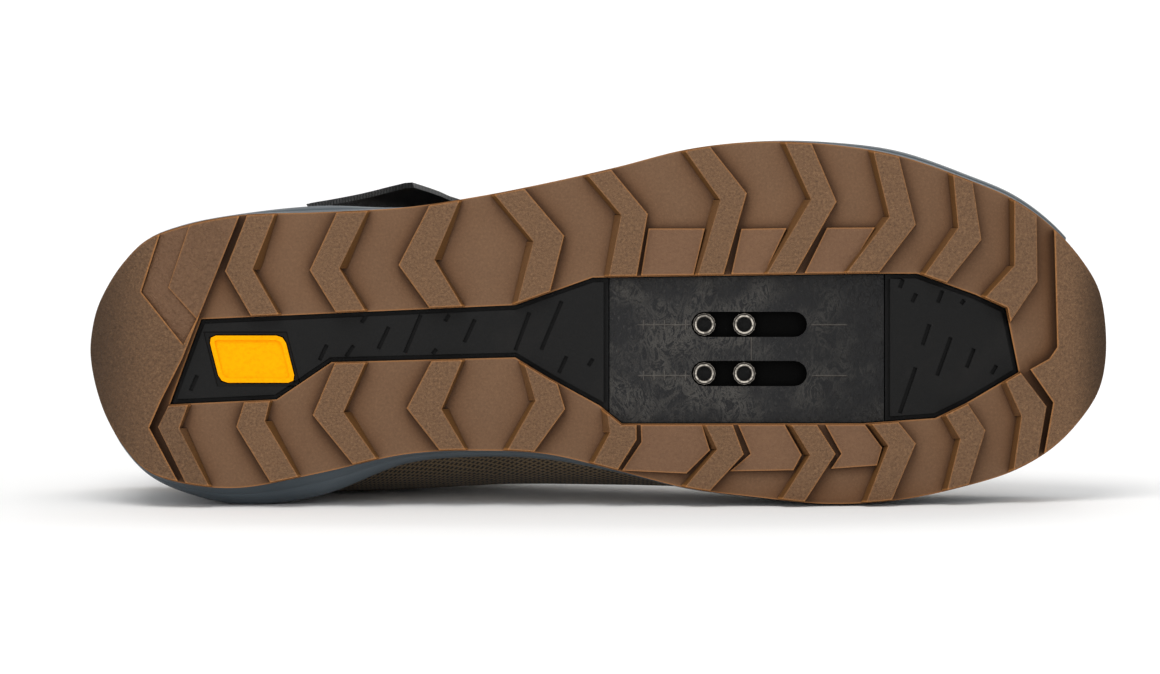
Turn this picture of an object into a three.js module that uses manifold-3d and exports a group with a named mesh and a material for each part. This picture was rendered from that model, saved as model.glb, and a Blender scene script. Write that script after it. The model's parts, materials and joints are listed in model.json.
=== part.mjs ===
// Cycling shoe for the right foot, about EU 42, in millimetres.
// The shoe is drawn upright: X runs from heel to toe, Y towards the inner side of the foot and Z up.
// At the end it is laid on its inner side, with the sole facing -Y.
import * as THREE from 'three';
import { mergeVertices } from 'three/addons/utils/BufferGeometryUtils.js';
import Module from 'manifold-3d';

const wasm = await Module();
wasm.setup();

// Overall sizes
const length = 290; // outsole, heel to toe
const ballWidth = 103; // outsole across the ball
const instepHeight = 122; // ground to the top of the instep
const clearance = 0.3; // between pieces that meet

// Heights of the sole
const heelStack = 25; // ground to footbed under the heel
const ballStack = 17; // ground to footbed under the ball
const heelLift = 2.5; // extra height of the footbed at the very back
const toeSpring = 18; // rise of the tread at the toe
const springStart = 203; // where the toe starts to rise
const heelBevel = 13; // rise of the tread at the back
const bevelEnd = 29; // where the bevel reaches the ground
const curl = 1.8; // how late the two rises gather speed

// Tread
const lugHeight = 3.6;
const lugDraft = 0.5; // lean of a lug's steep wall
const lugSlope = 2.0; // lean of its sloping wall
const lugRoot = 0.6; // depth to which a lug is rooted in the rubber
const lugInset = 0.35; // lug ends stay this far inside the rubber's edges
const shelfHeight = 1.7; // low blocks between the lugs
const rubber = 2.6; // rubber between the lugs
const bumperWall = 3; // rubber wrapped up over the toe
const bumperReach = 18; // back from the tip of the toe, on the middle line
const bumperSlant = 0.27; // it starts further back on the inner side
const bumperHeight = 15;
const bandDepth = 0.8; // recess across the heel pad

// Pocket for the cleat
const pocketDepth = 11; // ground to the roof of the pocket
const insertFace = 3.4; // ground to the face of the two inserts
const grooveWidth = 1.4;
const grooveDepth = 1.6;
const plateStart = 147.8;
const plateEnd = 226;
const plateFace = 5.6;
const plateThickness = 3.4;
const slotSpacing = 14;
const slotMiddle = 5.4; // between the two slots, across the shoe
const slotStart = 171.1;
const slotLength = 33;
const slotWidth = 7.2;
const barrelWidth = 6.4;
const barrelBore = 4.2;
const barrelFace = 6.4;
const barrelPlaces = [174.8, 186.2];
const nutPlateThickness = 1.4;
const nutPlateMargin = 4;

// Inlay in the heel insert
const inlayStart = 33.6;
const inlayLength = 25;
const inlayBottom = 1.6;
const inlayWidth = 13.4;
const inlaySkew = 3.4;
const inlayRound = 2.2;
const inlayRim = 1.3;
const inlayDepth = 1.9;
const inlayProud = 0.3;

// Upper
const upperWall = 2.3;
const overlayWall = 1.4;
const tongueWall = 4.5;
const insoleThickness = 4.2;
const heelTuck = 4.2; // how far the top of the heel leans forward
const tuckHeight = 46; // where the heel stands furthest back
const tuckSpan = 42;
const tuckReach = 95;
const collarBack = 92; // collar above ground, at the heel
const collarDip = 74; // and beside the ankle
const throatBack = 97;
const throatFront = 190;
const throatDrift = 6; // how far the throat wanders to the inner side at its top
const eyestayWidth = 13;
const eyeletInset = 6.5;
const eyeletBore = 4.4;
const laceWidth = 5.6;
const laceThickness = 1.5;
const lacePlaces = [135, 147, 159, 171, 182];
const tongueBack = 85;
const tongueEdge = 12;
const strapThickness = 2;
const strapGap = 0.9; // above the eyestay
const strapFlare = 3.6; // how far its free end stands off
const flareTurn = 128; // angle over the last where it starts to stand off
const tipDrift = 0.004; // how far the end runs towards the heel, as a share of length
const padKeep = 60; // the patch keeps clear of the eyestay from here
const padThickness = 1;

// Sides of the sole: rubber edge and midsole side, as shares of length and ball width
const soleRows = [
  { along: -0.002, gumLateral: 0.03, gumMedial: 0.08, sideLateral: 0.03, sideMedial: 0.08 },
  { along: 0.0035, gumLateral: -0.05, gumMedial: 0.16, sideLateral: -0.052, sideMedial: 0.165 },
  { along: 0.014, gumLateral: -0.115, gumMedial: 0.241, sideLateral: -0.118, sideMedial: 0.247 },
  { along: 0.031, gumLateral: -0.185, gumMedial: 0.32, sideLateral: -0.188, sideMedial: 0.332 },
  { along: 0.055, gumLateral: -0.249, gumMedial: 0.389, sideLateral: -0.253, sideMedial: 0.402 },
  { along: 0.09, gumLateral: -0.287, gumMedial: 0.423, sideLateral: -0.292, sideMedial: 0.451 },
  { along: 0.145, gumLateral: -0.317, gumMedial: 0.436, sideLateral: -0.322, sideMedial: 0.485 },
  { along: 0.224, gumLateral: -0.325, gumMedial: 0.396, sideLateral: -0.346, sideMedial: 0.462 },
  { along: 0.31, gumLateral: -0.339, gumMedial: 0.343, sideLateral: -0.341, sideMedial: 0.372 },
  { along: 0.379, gumLateral: -0.368, gumMedial: 0.333, sideLateral: -0.37, sideMedial: 0.353 },
  { along: 0.448, gumLateral: -0.406, gumMedial: 0.343, sideLateral: -0.408, sideMedial: 0.36 },
  { along: 0.517, gumLateral: -0.45, gumMedial: 0.388, sideLateral: -0.452, sideMedial: 0.395 },
  { along: 0.586, gumLateral: -0.499, gumMedial: 0.437, sideLateral: -0.501, sideMedial: 0.44 },
  { along: 0.655, gumLateral: -0.52, gumMedial: 0.462, sideLateral: -0.523, sideMedial: 0.466 },
  { along: 0.721, gumLateral: -0.514, gumMedial: 0.48, sideLateral: -0.522, sideMedial: 0.484 },
  { along: 0.793, gumLateral: -0.482, gumMedial: 0.47, sideLateral: -0.498, sideMedial: 0.473 },
  { along: 0.862, gumLateral: -0.417, gumMedial: 0.431, sideLateral: -0.433, sideMedial: 0.433 },
  { along: 0.91, gumLateral: -0.359, gumMedial: 0.388, sideLateral: -0.376, sideMedial: 0.39 },
  { along: 0.948, gumLateral: -0.282, gumMedial: 0.325, sideLateral: -0.298, sideMedial: 0.326 },
  { along: 0.976, gumLateral: -0.196, gumMedial: 0.245, sideLateral: -0.208, sideMedial: 0.246 },
  { along: 0.993, gumLateral: -0.116, gumMedial: 0.17, sideLateral: -0.117, sideMedial: 0.17 },
  { along: 1.0, gumLateral: -0.02, gumMedial: 0.09, sideLateral: -0.02, sideMedial: 0.09 },
];

// Window in the rubber, as shares of length and ball width, from the heel along the outer side
const windowCorners = [
  [0.109, -0.03], [0.417, -0.069], [0.493, -0.145], [0.772, -0.156], [0.812, -0.156], [0.869, -0.099],
  [0.9, -0.06], [0.913, 0.117], [0.861, 0.202], [0.83, 0.244], [0.759, 0.258], [0.522, 0.259],
  [0.5, 0.209], [0.45, 0.132], [0.417, 0.076], [0.237, 0.089], [0.183, 0.192], [0.078, 0.206],
];

// Lugs, as shares: where each crosses the rim, the fold and the window, on its heel and toe side
const lugRows = [
  { side: 'lateral', rim: [0.155, 0.182], fold: [0.133, 0.160],
    across: [-0.162, -0.167], window: [0.159, 0.186] },
  { side: 'lateral', rim: [0.243, 0.273], fold: [0.216, 0.245],
    across: [-0.165, -0.170], window: [0.242, 0.271] },
  { side: 'lateral', rim: [0.334, 0.363], fold: [0.303, 0.338],
    across: [-0.179, -0.194], window: [0.334, 0.366] },
  { side: 'lateral', rim: [0.396, 0.425], fold: [0.435, 0.465],
    across: [-0.244, -0.260], window: [0.419, 0.451] },
  { side: 'lateral', rim: [0.487, 0.510], fold: [0.521, 0.547],
    across: [-0.317, -0.320], window: [0.509, 0.536] },
  { side: 'lateral', rim: [0.583, 0.607], fold: [0.618, 0.644],
    across: [-0.359, -0.377], window: [0.596, 0.621] },
  { side: 'lateral', rim: [0.681, 0.707], fold: [0.707, 0.732],
    across: [-0.360, -0.354], window: [0.663, 0.691] },
  { side: 'lateral', rim: [0.768, 0.793], fold: [0.784, 0.810],
    across: [-0.312, -0.291], window: [0.741, 0.773] },
  { side: 'lateral', rim: [0.847, 0.866], fold: [0.852, 0.875],
    across: [-0.282, -0.250], window: [0.818, 0.840] },
  { side: 'lateral', rim: [0.908, 0.930], fold: [0.908, 0.931],
    across: [-0.178, -0.134], window: [0.878, 0.903] },
  { side: 'medial', rim: [0.095, 0.118], fold: [0.067, 0.088],
    across: [0.268, 0.272], window: [0.078, 0.097] },
  { side: 'medial', rim: [0.178, 0.205], fold: [0.144, 0.172],
    across: [0.267, 0.252], window: [0.152, 0.177] },
  { side: 'medial', rim: [0.259, 0.282], fold: [0.219, 0.249],
    across: [0.235, 0.227], window: [0.241, 0.271] },
  { side: 'medial', rim: [0.344, 0.369], fold: [0.311, 0.345],
    across: [0.216, 0.219], window: [0.336, 0.366] },
  { side: 'medial', rim: [0.409, 0.435], fold: [0.437, 0.466],
    across: [0.195, 0.218], window: [0.426, 0.458] },
  { side: 'medial', rim: [0.493, 0.517], fold: [0.510, 0.536],
    across: [0.283, 0.303], window: [0.507, 0.536] },
  { side: 'medial', rim: [0.583, 0.607], fold: [0.615, 0.641],
    across: [0.329, 0.343], window: [0.603, 0.630] },
  { side: 'medial', rim: [0.678, 0.700], fold: [0.706, 0.731],
    across: [0.345, 0.342], window: [0.687, 0.712] },
  { side: 'medial', rim: [0.761, 0.786], fold: [0.783, 0.810],
    across: [0.320, 0.314], window: [0.766, 0.792] },
  { side: 'medial', rim: [0.841, 0.862], fold: [0.854, 0.879],
    across: [0.301, 0.278], window: [0.839, 0.861] },
  { side: 'medial', rim: [0.907, 0.931], fold: [0.915, 0.940],
    across: [0.238, 0.212], window: [0.899, 0.914] },
];

// Low blocks between the lugs beside the cleat pocket, as shares
const shelfBlocks = [
  [[0.548, -0.28], [0.603, -0.28], [0.591, -0.14], [0.54, -0.14]],
  [[0.639, -0.279], [0.683, -0.281], [0.659, -0.14], [0.628, -0.14]],
  [[0.723, -0.282], [0.77, -0.283], [0.738, -0.14], [0.698, -0.14]],
  [[0.54, 0.25], [0.541, 0.309], [0.522, 0.388], [0.585, 0.396], [0.608, 0.332], [0.599, 0.25]],
  [[0.634, 0.25], [0.648, 0.342], [0.628, 0.39], [0.69, 0.387], [0.698, 0.345], [0.679, 0.25]],
  [[0.719, 0.25], [0.737, 0.342], [0.727, 0.383], [0.772, 0.374], [0.777, 0.325], [0.757, 0.25]],
];

// Full-height pads at the heel and toe, and the recessed band across the heel pad, as shares
const heelPad = [
  [0.156, -0.4], [0.147, -0.316], [0.106, -0.029], [0.091, 0.078], [0.07, 0.194], [0.058, 0.27],
  [0.089, 0.43], [0.1, 0.5], [-0.05, 0.5], [-0.05, -0.4],
];
const toePad = [
  [0.945, -0.4], [0.948, -0.268], [0.951, 0.048], [0.943, 0.08], [0.924, 0.109], [0.947, 0.201],
  [0.938, 0.339], [0.932, 0.5], [1.05, 0.5], [1.05, -0.4],
];
const heelBand = [
  [0.075, -0.36], [0.069, -0.267], [0.05, -0.105], [0.092, 0.041], [0.105, -0.03], [0.077, -0.117],
  [0.098, -0.29], [0.106, -0.36],
];

// Sections of the last from heel to toe: widths as shares of the ball width, heights of the instep height,
// and the power of the curve over the top (2 is round, more is squarer)
const lastRows = [
  { along: 0.017, footLateral: 0.0, footMedial: 0.11, wideLateral: -0.02,
    wideMedial: 0.125, rise: 0.12, top: 1.23, square: 3 },
  { along: 0.024, footLateral: -0.09, footMedial: 0.195, wideLateral: -0.112,
    wideMedial: 0.218, rise: 0.13, top: 1.23, square: 3 },
  { along: 0.04, footLateral: -0.165, footMedial: 0.275, wideLateral: -0.195,
    wideMedial: 0.3, rise: 0.15, top: 1.23, square: 3 },
  { along: 0.066, footLateral: -0.225, footMedial: 0.34, wideLateral: -0.25,
    wideMedial: 0.37, rise: 0.17, top: 1.23, square: 3.1 },
  { along: 0.108, footLateral: -0.268, footMedial: 0.392, wideLateral: -0.292,
    wideMedial: 0.415, rise: 0.19, top: 1.23, square: 3.3 },
  { along: 0.17, footLateral: -0.287, footMedial: 0.41, wideLateral: -0.309,
    wideMedial: 0.438, rise: 0.21, top: 1.22, square: 3.4 },
  { along: 0.24, footLateral: -0.293, footMedial: 0.395, wideLateral: -0.319,
    wideMedial: 0.455, rise: 0.22, top: 1.18, square: 3.1 },
  { along: 0.32, footLateral: -0.303, footMedial: 0.358, wideLateral: -0.339,
    wideMedial: 0.447, rise: 0.21, top: 1.08, square: 2.5 },
  { along: 0.41, footLateral: -0.34, footMedial: 0.345, wideLateral: -0.375,
    wideMedial: 0.434, rise: 0.2, top: 0.94, square: 2.2 },
  { along: 0.51, footLateral: -0.405, footMedial: 0.375, wideLateral: -0.43,
    wideMedial: 0.435, rise: 0.18, top: 0.808, square: 2.1 },
  { along: 0.61, footLateral: -0.462, footMedial: 0.418, wideLateral: -0.48,
    wideMedial: 0.441, rise: 0.15, top: 0.69, square: 2.1 },
  { along: 0.7, footLateral: -0.488, footMedial: 0.438, wideLateral: -0.5,
    wideMedial: 0.452, rise: 0.12, top: 0.603, square: 2.25 },
  { along: 0.785, footLateral: -0.46, footMedial: 0.426, wideLateral: -0.472,
    wideMedial: 0.437, rise: 0.1, top: 0.545, square: 2.4 },
  { along: 0.855, footLateral: -0.398, footMedial: 0.402, wideLateral: -0.41,
    wideMedial: 0.412, rise: 0.09, top: 0.502, square: 2.5 },
  { along: 0.91, footLateral: -0.316, footMedial: 0.345, wideLateral: -0.327,
    wideMedial: 0.355, rise: 0.08, top: 0.464, square: 2.5 },
  { along: 0.948, footLateral: -0.226, footMedial: 0.274, wideLateral: -0.235,
    wideMedial: 0.283, rise: 0.07, top: 0.425, square: 2.5 },
  { along: 0.97, footLateral: -0.14, footMedial: 0.205, wideLateral: -0.147,
    wideMedial: 0.212, rise: 0.055, top: 0.385, square: 2.4 },
  { along: 0.979, footLateral: -0.06, footMedial: 0.14, wideLateral: -0.066,
    wideMedial: 0.147, rise: 0.04, top: 0.345, square: 2.2 },
];

// Half width of the throat along its length, from the top to the vamp, in shares of the throat's length
const throatWidth = 32; // at the top
const throatRows = [
  { down: 0, half: 0.5 }, { down: 0.3, half: 0.44 }, { down: 0.6, half: 0.38 }, { down: 0.85, half: 0.33 },
  { down: 0.96, half: 0.22 }, { down: 1, half: 0.08 },
];

// Strap from the inner side of the instep to its free end: angle over the last and place along the shoe,
// as shares of length, of its heel and toe edges
const strapRows = [
  { turn: 42, back: 0.335, front: 0.438 },
  { turn: 62, back: 0.335, front: 0.44 },
  { turn: 82, back: 0.332, front: 0.439 },
  { turn: 102, back: 0.324, front: 0.434 },
  { turn: 120, back: 0.306, front: 0.422 },
  { turn: 138, back: 0.28, front: 0.403 },
  { turn: 152, back: 0.24, front: 0.382 },
  { turn: 164, back: 0.208, front: 0.366 },
];
const padRows = [ // corners of the patch, as shares of length and above the heel stack
  { along: 0.25, up: 24 }, { along: 0.37, up: 22 }, { along: 0.4, up: 52 }, { along: 0.33, up: 62 },
  { along: 0.29, up: 50 },
];
const collarRows = [ // top line of the collar, seen from the side
  { x: -20, up: collarBack }, { x: 5, up: collarBack }, { x: 17, up: collarBack - 3 },
  { x: 34, up: collarDip + 5 }, { x: 54, up: collarDip }, { x: 72, up: collarDip + 5 },
  { x: 86, up: collarDip + 20 }, { x: throatBack, up: collarDip + 45 },
  { x: throatBack + 2, up: instepHeight * 1.3 },
];
const strapTip = [ // share of the strap's width, and how far the end reaches past the last row, in degrees
  { across: 0, past: 4 }, { across: 0.25, past: 9 }, { across: 0.5, past: 14 }, { across: 0.74, past: 19 },
  { across: 0.88, past: 13 }, { across: 1, past: 6 },
];

const layerSteps = [
  -12, 0, 4, 8, 12, 16, 20, 24, 29, 80, 95, 110, 125, 140, 155, 170, 185, 203, 212, 220, 228, 236, 244, 251,
  258, 265, 272, 279, 286, 293, 305,
].map((place) => (place / 290) * length);

// Heights along the sole

function springAt(x) {
  return toeSpring * Math.max(0, (x - springStart) / (length - springStart)) ** curl;
}

function treadAt(x) {
  return springAt(x) + heelBevel * Math.max(0, 1 - x / bevelEnd) ** curl;
}

function footbedAt(x) {
  const forward = THREE.MathUtils.smoothstep(x, length * 0.28, length * 0.7);
  const lift = heelLift * Math.max(0, 1 - x / bevelEnd) ** curl;
  return THREE.MathUtils.lerp(heelStack, ballStack, forward) + springAt(x) + lift;
}

// Solids

function signedVolume(points, faces) {
  let six = 0;
  for (const [a, b, c] of faces) {
    six += points[a].dot(new THREE.Vector3().crossVectors(points[b], points[c]));
  }
  return six;
}

function loft(rings) { // in each ring the first point faces the last one, and so on
  const count = rings[0].length;
  const points = rings.flat();
  const faces = [];
  for (let ring = 0; ring < rings.length - 1; ring += 1) {
    for (let side = 0; side < count; side += 1) {
      const here = ring * count + side;
      const beside = ring * count + ((side + 1) % count);
      faces.push([here, beside, beside + count], [here, beside + count, here + count]);
    }
  }
  for (let rung = 0; rung < Math.ceil(count / 2) - 1; rung += 1) {
    const far = count - 1 - rung;
    const end = (rings.length - 1) * count;
    faces.push([rung, far, rung + 1], [end + rung, end + rung + 1, end + far]);
    if (far - 1 > rung + 1) {
      faces.push([rung + 1, far, far - 1], [end + rung + 1, end + far - 1, end + far]);
    }
  }
  const outward = signedVolume(points, faces) > 0;
  const geometry = new THREE.BufferGeometry().setFromPoints(points);
  geometry.setIndex(faces.flatMap(([a, b, c]) => (outward ? [a, b, c] : [a, c, b])));
  return solidOf(geometry);
}

function solidOf(geometry) {
  geometry.deleteAttribute('normal');
  geometry.deleteAttribute('uv');
  const merged = mergeVertices(geometry, 1e-4);
  return new wasm.Manifold(new wasm.Mesh({
    numProp: 3,
    vertProperties: new Float32Array(merged.attributes.position.array),
    triVerts: new Uint32Array(merged.index.array),
  }));
}

function extruded(corners, depth) {
  const shape = new THREE.Shape(corners.map(([a, b]) => new THREE.Vector2(a, b)));
  return new THREE.ExtrudeGeometry(shape, { depth, bevelEnabled: false });
}

function planPrism(corners, low, high) {
  return solidOf(extruded(corners, high - low).translate(0, 0, low));
}

function sidePrism(corners, inner, outer) {
  return solidOf(extruded(corners, outer - inner).rotateX(Math.PI / 2).translate(0, outer, 0));
}

function crossBand(from, to) {
  return [[from, -ballWidth], [to, -ballWidth], [to, ballWidth], [from, ballWidth]];
}

function layer(lowAt, highAt) {
  const wide = ballWidth;
  const rings = layerSteps.map((x) => [
    new THREE.Vector3(x, -wide, lowAt(x)), new THREE.Vector3(x, wide, lowAt(x)),
    new THREE.Vector3(x, wide, highAt(x)), new THREE.Vector3(x, -wide, highAt(x)),
  ]);
  return loft(rings);
}

function treadLayer(low, high) {
  return layer((x) => treadAt(x) + low, (x) => treadAt(x) + high);
}

function bend(solid) { // moves what was drawn on flat ground onto the curve of the tread, slice by slice
  const slices = layerSteps.slice(1).map((to, i) => {
    const from = layerSteps[i];
    const span = planPrism(crossBand(from, to), -9, 60);
    const { vertProperties, triVerts } = solid.intersect(span).getMesh();
    const bent = Float32Array.from(vertProperties);
    for (let at = 0; at < bent.length; at += 3) {
      bent[at + 2] += treadAt(bent[at]);
    }
    return new wasm.Manifold(new wasm.Mesh({ numProp: 3, vertProperties: bent, triVerts }));
  });
  return joined(slices.filter((slice) => !slice.isEmpty()));
}

function joined(solids) {
  return solids.reduce((sum, solid) => sum.add(solid));
}

// Outlines

function placed(corners) {
  return corners.map(([along, across]) => [along * length, across * ballWidth]);
}

function smooth(corners, steps) {
  const points = corners.map(([x, y]) => new THREE.Vector3(x, y, 0));
  const curve = new THREE.CatmullRomCurve3(points, true, 'centripetal');
  return curve.getPoints(corners.length * steps).slice(0, -1).map(({ x, y }) => [x, y]);
}

function grown(corners, distance) { // every side of the outline moved outwards
  const turn = Math.sign(THREE.ShapeUtils.area(corners.map(([x, y]) => new THREE.Vector2(x, y))));
  return corners.map(([x, y], i) => {
    const [beforeX, beforeY] = corners.at(i - 1);
    const [afterX, afterY] = corners[(i + 1) % corners.length];
    const into = new THREE.Vector2(x - beforeX, y - beforeY).normalize();
    const out = new THREE.Vector2(afterX - x, afterY - y).normalize();
    const sum = new THREE.Vector2(into.y + out.y, -into.x - out.x).normalize();
    const stretch = distance * turn / Math.max(0.3, sum.dot(new THREE.Vector2(out.y, -out.x)));
    return [x + sum.x * stretch, y + sum.y * stretch];
  });
}

function soleOutline(kind) {
  const lateral = soleRows.map((row) => [row.along, row[`${kind}Lateral`]]);
  const medial = soleRows.map((row) => [row.along, row[`${kind}Medial`]]).reverse();
  return smooth(placed([...lateral, ...medial]), 2);
}

function edgeAt(outline, place, side) { // how far across an outline reaches at a place along the shoe
  const sign = side === 'medial' ? 1 : -1;
  const ends = outline.map(([along]) => along);
  const x = THREE.MathUtils.clamp(place, Math.min(...ends) + 0.1, Math.max(...ends) - 0.1);
  let reach = -Infinity;
  outline.forEach(([fromX, fromY], i) => {
    const [toX, toY] = outline[(i + 1) % outline.length];
    const share = (x - fromX) / (toX - fromX);
    if (share >= 0 && share <= 1) {
      reach = Math.max(reach, sign * THREE.MathUtils.lerp(fromY, toY, share));
    }
  });
  return sign * reach;
}

const gumOutline = soleOutline('gum');
const sideOutline = soleOutline('side');
const windowOutline = placed(windowCorners);

// Outsole

function stretched(from, to, share) {
  return [from[0] + (to[0] - from[0]) * share, from[1] + (to[1] - from[1]) * share];
}

function lugOutline(row, heelShift, toeShift) {
  const shifts = [-heelShift, toeShift];
  const edges = [0, 1].map((edge) => {
    const fold = [row.fold[edge] * length, row.across[edge] * ballWidth];
    const rimX = row.rim[edge] * length;
    const windowX = row.window[edge] * length;
    const rim = [rimX, edgeAt(gumOutline, rimX, row.side)];
    const sill = [windowX, edgeAt(windowOutline, windowX, row.side)];
    const points = [stretched(fold, rim, 1.25), fold, stretched(fold, sill, 1.12)];
    return points.map(([x, y]) => [x + shifts[edge], y]);
  });
  return [...edges[0], ...edges[1].reverse()];
}

function blockSolid(tip, root, low) {
  const rings = [[tip, low], [root, lugHeight + lugRoot]].map(([corners, z]) => (
    corners.map(([x, y]) => new THREE.Vector3(x, y, z))
  ));
  return loft(rings);
}

function lugSolid(row) {
  const pointsToHeel = row.fold[0] < row.rim[0];
  const heelLean = pointsToHeel ? lugDraft : lugSlope;
  const toeLean = pointsToHeel ? lugSlope : lugDraft;
  return blockSolid(lugOutline(row, 0, 0), lugOutline(row, heelLean, toeLean), 0);
}

function padSolid(corners, low) {
  return planPrism(placed(corners), low, lugHeight + lugRoot);
}

function bumperRing(inner, outer, extra) {
  const wall = planPrism(grown(gumOutline, outer), 0, instepHeight)
    .subtract(planPrism(grown(gumOutline, -inner), -1, instepHeight + 1));
  const start = length - bumperReach - extra;
  const end = length * 1.1;
  const slant = ballWidth * bumperSlant;
  const corners = [
    [start + slant, -ballWidth], [end, -ballWidth], [end, ballWidth], [start - slant, ballWidth],
  ];
  const front = planPrism(corners, 0, instepHeight);
  return wall.intersect(front).intersect(treadLayer(lugHeight + lugRoot, bumperHeight + extra));
}

function outsole() {
  const ground = planPrism(grown(gumOutline, -lugInset), -1, 20)
    .subtract(planPrism(grown(windowOutline, lugInset), -2, 21));
  const blocks = joined([
    ...lugRows.map(lugSolid),
    ...shelfBlocks.map((corners) => padSolid(corners, lugHeight - shelfHeight)),
    padSolid(heelPad, 0).subtract(planPrism(placed(heelBand), -1, bandDepth)),
    padSolid(toePad, 0),
  ]);
  const sheet = planPrism(gumOutline, -5, instepHeight).intersect(treadLayer(lugHeight, lugHeight + rubber))
    .subtract(planPrism(windowOutline, -6, instepHeight + 1));
  return sheet.add(bend(blocks.intersect(ground))).add(bumperRing(bumperWall, 0, 0));
}

// Midsole

function midsole() {
  const bottomAt = (x) => treadAt(x) + lugHeight + rubber + clearance;
  const levels = [
    { outline: gumOutline, inset: 0, share: -0.6 },
    { outline: gumOutline, inset: 0, share: 0 },
    { outline: sideOutline, inset: 0, share: 0.3 },
    { outline: sideOutline, inset: 0.3, share: 0.65 },
    { outline: sideOutline, inset: 1.6, share: 1 },
    { outline: sideOutline, inset: 1.6, share: 1.5 },
  ];
  const rings = levels.map(({ outline, inset, share }) => grown(outline, -inset).map(([x, y]) => (
    new THREE.Vector3(x, y, THREE.MathUtils.lerp(bottomAt(x), footbedAt(x), share))
  )));
  const block = loft(rings);
  const pocket = planPrism(grown(windowOutline, clearance), -6, instepHeight)
    .intersect(treadLayer(0, pocketDepth));
  return block.intersect(layer(bottomAt, footbedAt)).subtract(pocket)
    .subtract(bumperRing(bumperWall + clearance, ballWidth * 0.1, clearance));
}

// Pieces in the pocket

function pocketPiece(corners, from, to, low, high) {
  const span = planPrism(crossBand(from, to), -6, 60);
  return planPrism(corners, -5, 50).intersect(span).intersect(treadLayer(low, high));
}

function insert(from, to) {
  const top = pocketDepth - clearance;
  const base = pocketPiece(grown(windowOutline, -clearance), from, to, insertFace + grooveDepth, top);
  const raised = grown(windowOutline, -grooveWidth);
  const step = insertFace + grooveDepth + 1;
  const face = pocketPiece(raised, from + grooveWidth, to - grooveWidth, insertFace, step);
  return base.add(face);
}

function round(x, y, diameter, sides) {
  return Array.from({ length: sides }, (_, i) => {
    const turn = (i / sides) * 2 * Math.PI;
    return [x + Math.cos(turn) * diameter / 2, y + Math.sin(turn) * diameter / 2];
  });
}

function slotOutline(y, spare) {
  const half = slotWidth / 2 + spare;
  const ends = [slotStart + slotWidth / 2, slotStart + slotLength - slotWidth / 2];
  const corners = [];
  ends.forEach((x, end) => {
    for (let i = 0; i <= 8; i += 1) {
      const turn = Math.PI * (i / 8 + 0.5 + end);
      corners.push([x + Math.cos(turn) * half, y + Math.sin(turn) * half]);
    }
  });
  return corners;
}

const slotPlaces = [slotMiddle - slotSpacing / 2, slotMiddle + slotSpacing / 2];

function cleatPlate() {
  const blank = pocketPiece(grown(windowOutline, -clearance), plateStart, plateEnd, plateFace,
    plateFace + plateThickness);
  return slotPlaces.reduce((plate, y) => plate.subtract(planPrism(slotOutline(y, 0), -1, 60)), blank);
}

function nutPlate() {
  const low = plateFace + plateThickness + clearance;
  const from = slotStart - nutPlateMargin;
  const to = slotStart + slotLength + nutPlateMargin;
  const half = slotSpacing / 2 + slotWidth / 2 + nutPlateMargin;
  const sheet = planPrism([
    [from, slotMiddle - half], [to, slotMiddle - half], [to, slotMiddle + half], [from, slotMiddle + half],
  ], low, low + nutPlateThickness);
  const places = slotPlaces.flatMap((y) => barrelPlaces.map((x) => [x, y]));
  const barrels = places.map(([x, y]) => planPrism(round(x, y, barrelWidth, 12), barrelFace, low + 0.5));
  const high = low + nutPlateThickness;
  const bores = places.map(([x, y]) => planPrism(round(x, y, barrelBore, 10), 0, high + 1));
  return joined([sheet, ...barrels]).subtract(joined(bores));
}

// Inlay in the heel insert

function inlayOutline(spare) {
  const inlayEnd = inlayStart + inlayLength;
  const inlayTop = inlayBottom + inlayWidth;
  const corners = [
    [inlayStart, inlayBottom], [inlayEnd - inlaySkew, inlayBottom],
    [inlayEnd, inlayTop], [inlayStart + inlaySkew, inlayTop],
  ];
  const rounded = corners.flatMap((corner, i) => {
    const before = corners.at(i - 1);
    const after = corners[(i + 1) % corners.length];
    const reach = (other) => inlayRound / Math.hypot(other[0] - corner[0], other[1] - corner[1]);
    return [
      stretched(corner, before, reach(before)),
      stretched(stretched(corner, before, reach(before) * 0.3), after, reach(after) * 0.28),
      stretched(corner, after, reach(after)),
    ];
  });
  return grown(rounded, spare);
}

function heelInlay() {
  const face = insertFace - inlayProud;
  const body = planPrism(inlayOutline(0), face, insertFace + inlayDepth);
  return body.subtract(planPrism(inlayOutline(-inlayRim), 0, face + inlayProud * 2));
}

function heelInsert() {
  const recess = planPrism(inlayOutline(clearance), 0, insertFace + inlayDepth + clearance);
  return insert(0, plateStart - clearance).subtract(recess);
}

// Last and upper

function blended(rows, steps) { // rows of a table with smooth ones between them
  const names = Object.keys(rows[0]);
  const dense = [];
  for (let i = 0; i < rows.length - 1; i += 1) {
    const near = [Math.max(0, i - 1), i, i + 1, Math.min(rows.length - 1, i + 2)].map((at) => rows[at]);
    for (let step = 0; step < steps; step += 1) {
      const t = step / steps;
      dense.push(Object.fromEntries(names.map((name) => {
        const [a, b, c, d] = near.map((row) => row[name]);
        const slopeIn = (c - a) / 2;
        const slopeOut = (d - b) / 2;
        const value = b + slopeIn * t + (3 * (c - b) - 2 * slopeIn - slopeOut) * t ** 2
          + (2 * (b - c) + slopeIn + slopeOut) * t ** 3;
        return [name, value];
      })));
    }
  }
  dense.push({ ...rows.at(-1) });
  return dense;
}

const lastSections = blended(lastRows, 2);
const arcSteps = 10; // facets over the top of each section
const lastStart = lastRows[0].along;
const lastEnd = lastRows.at(-1).along;

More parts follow.
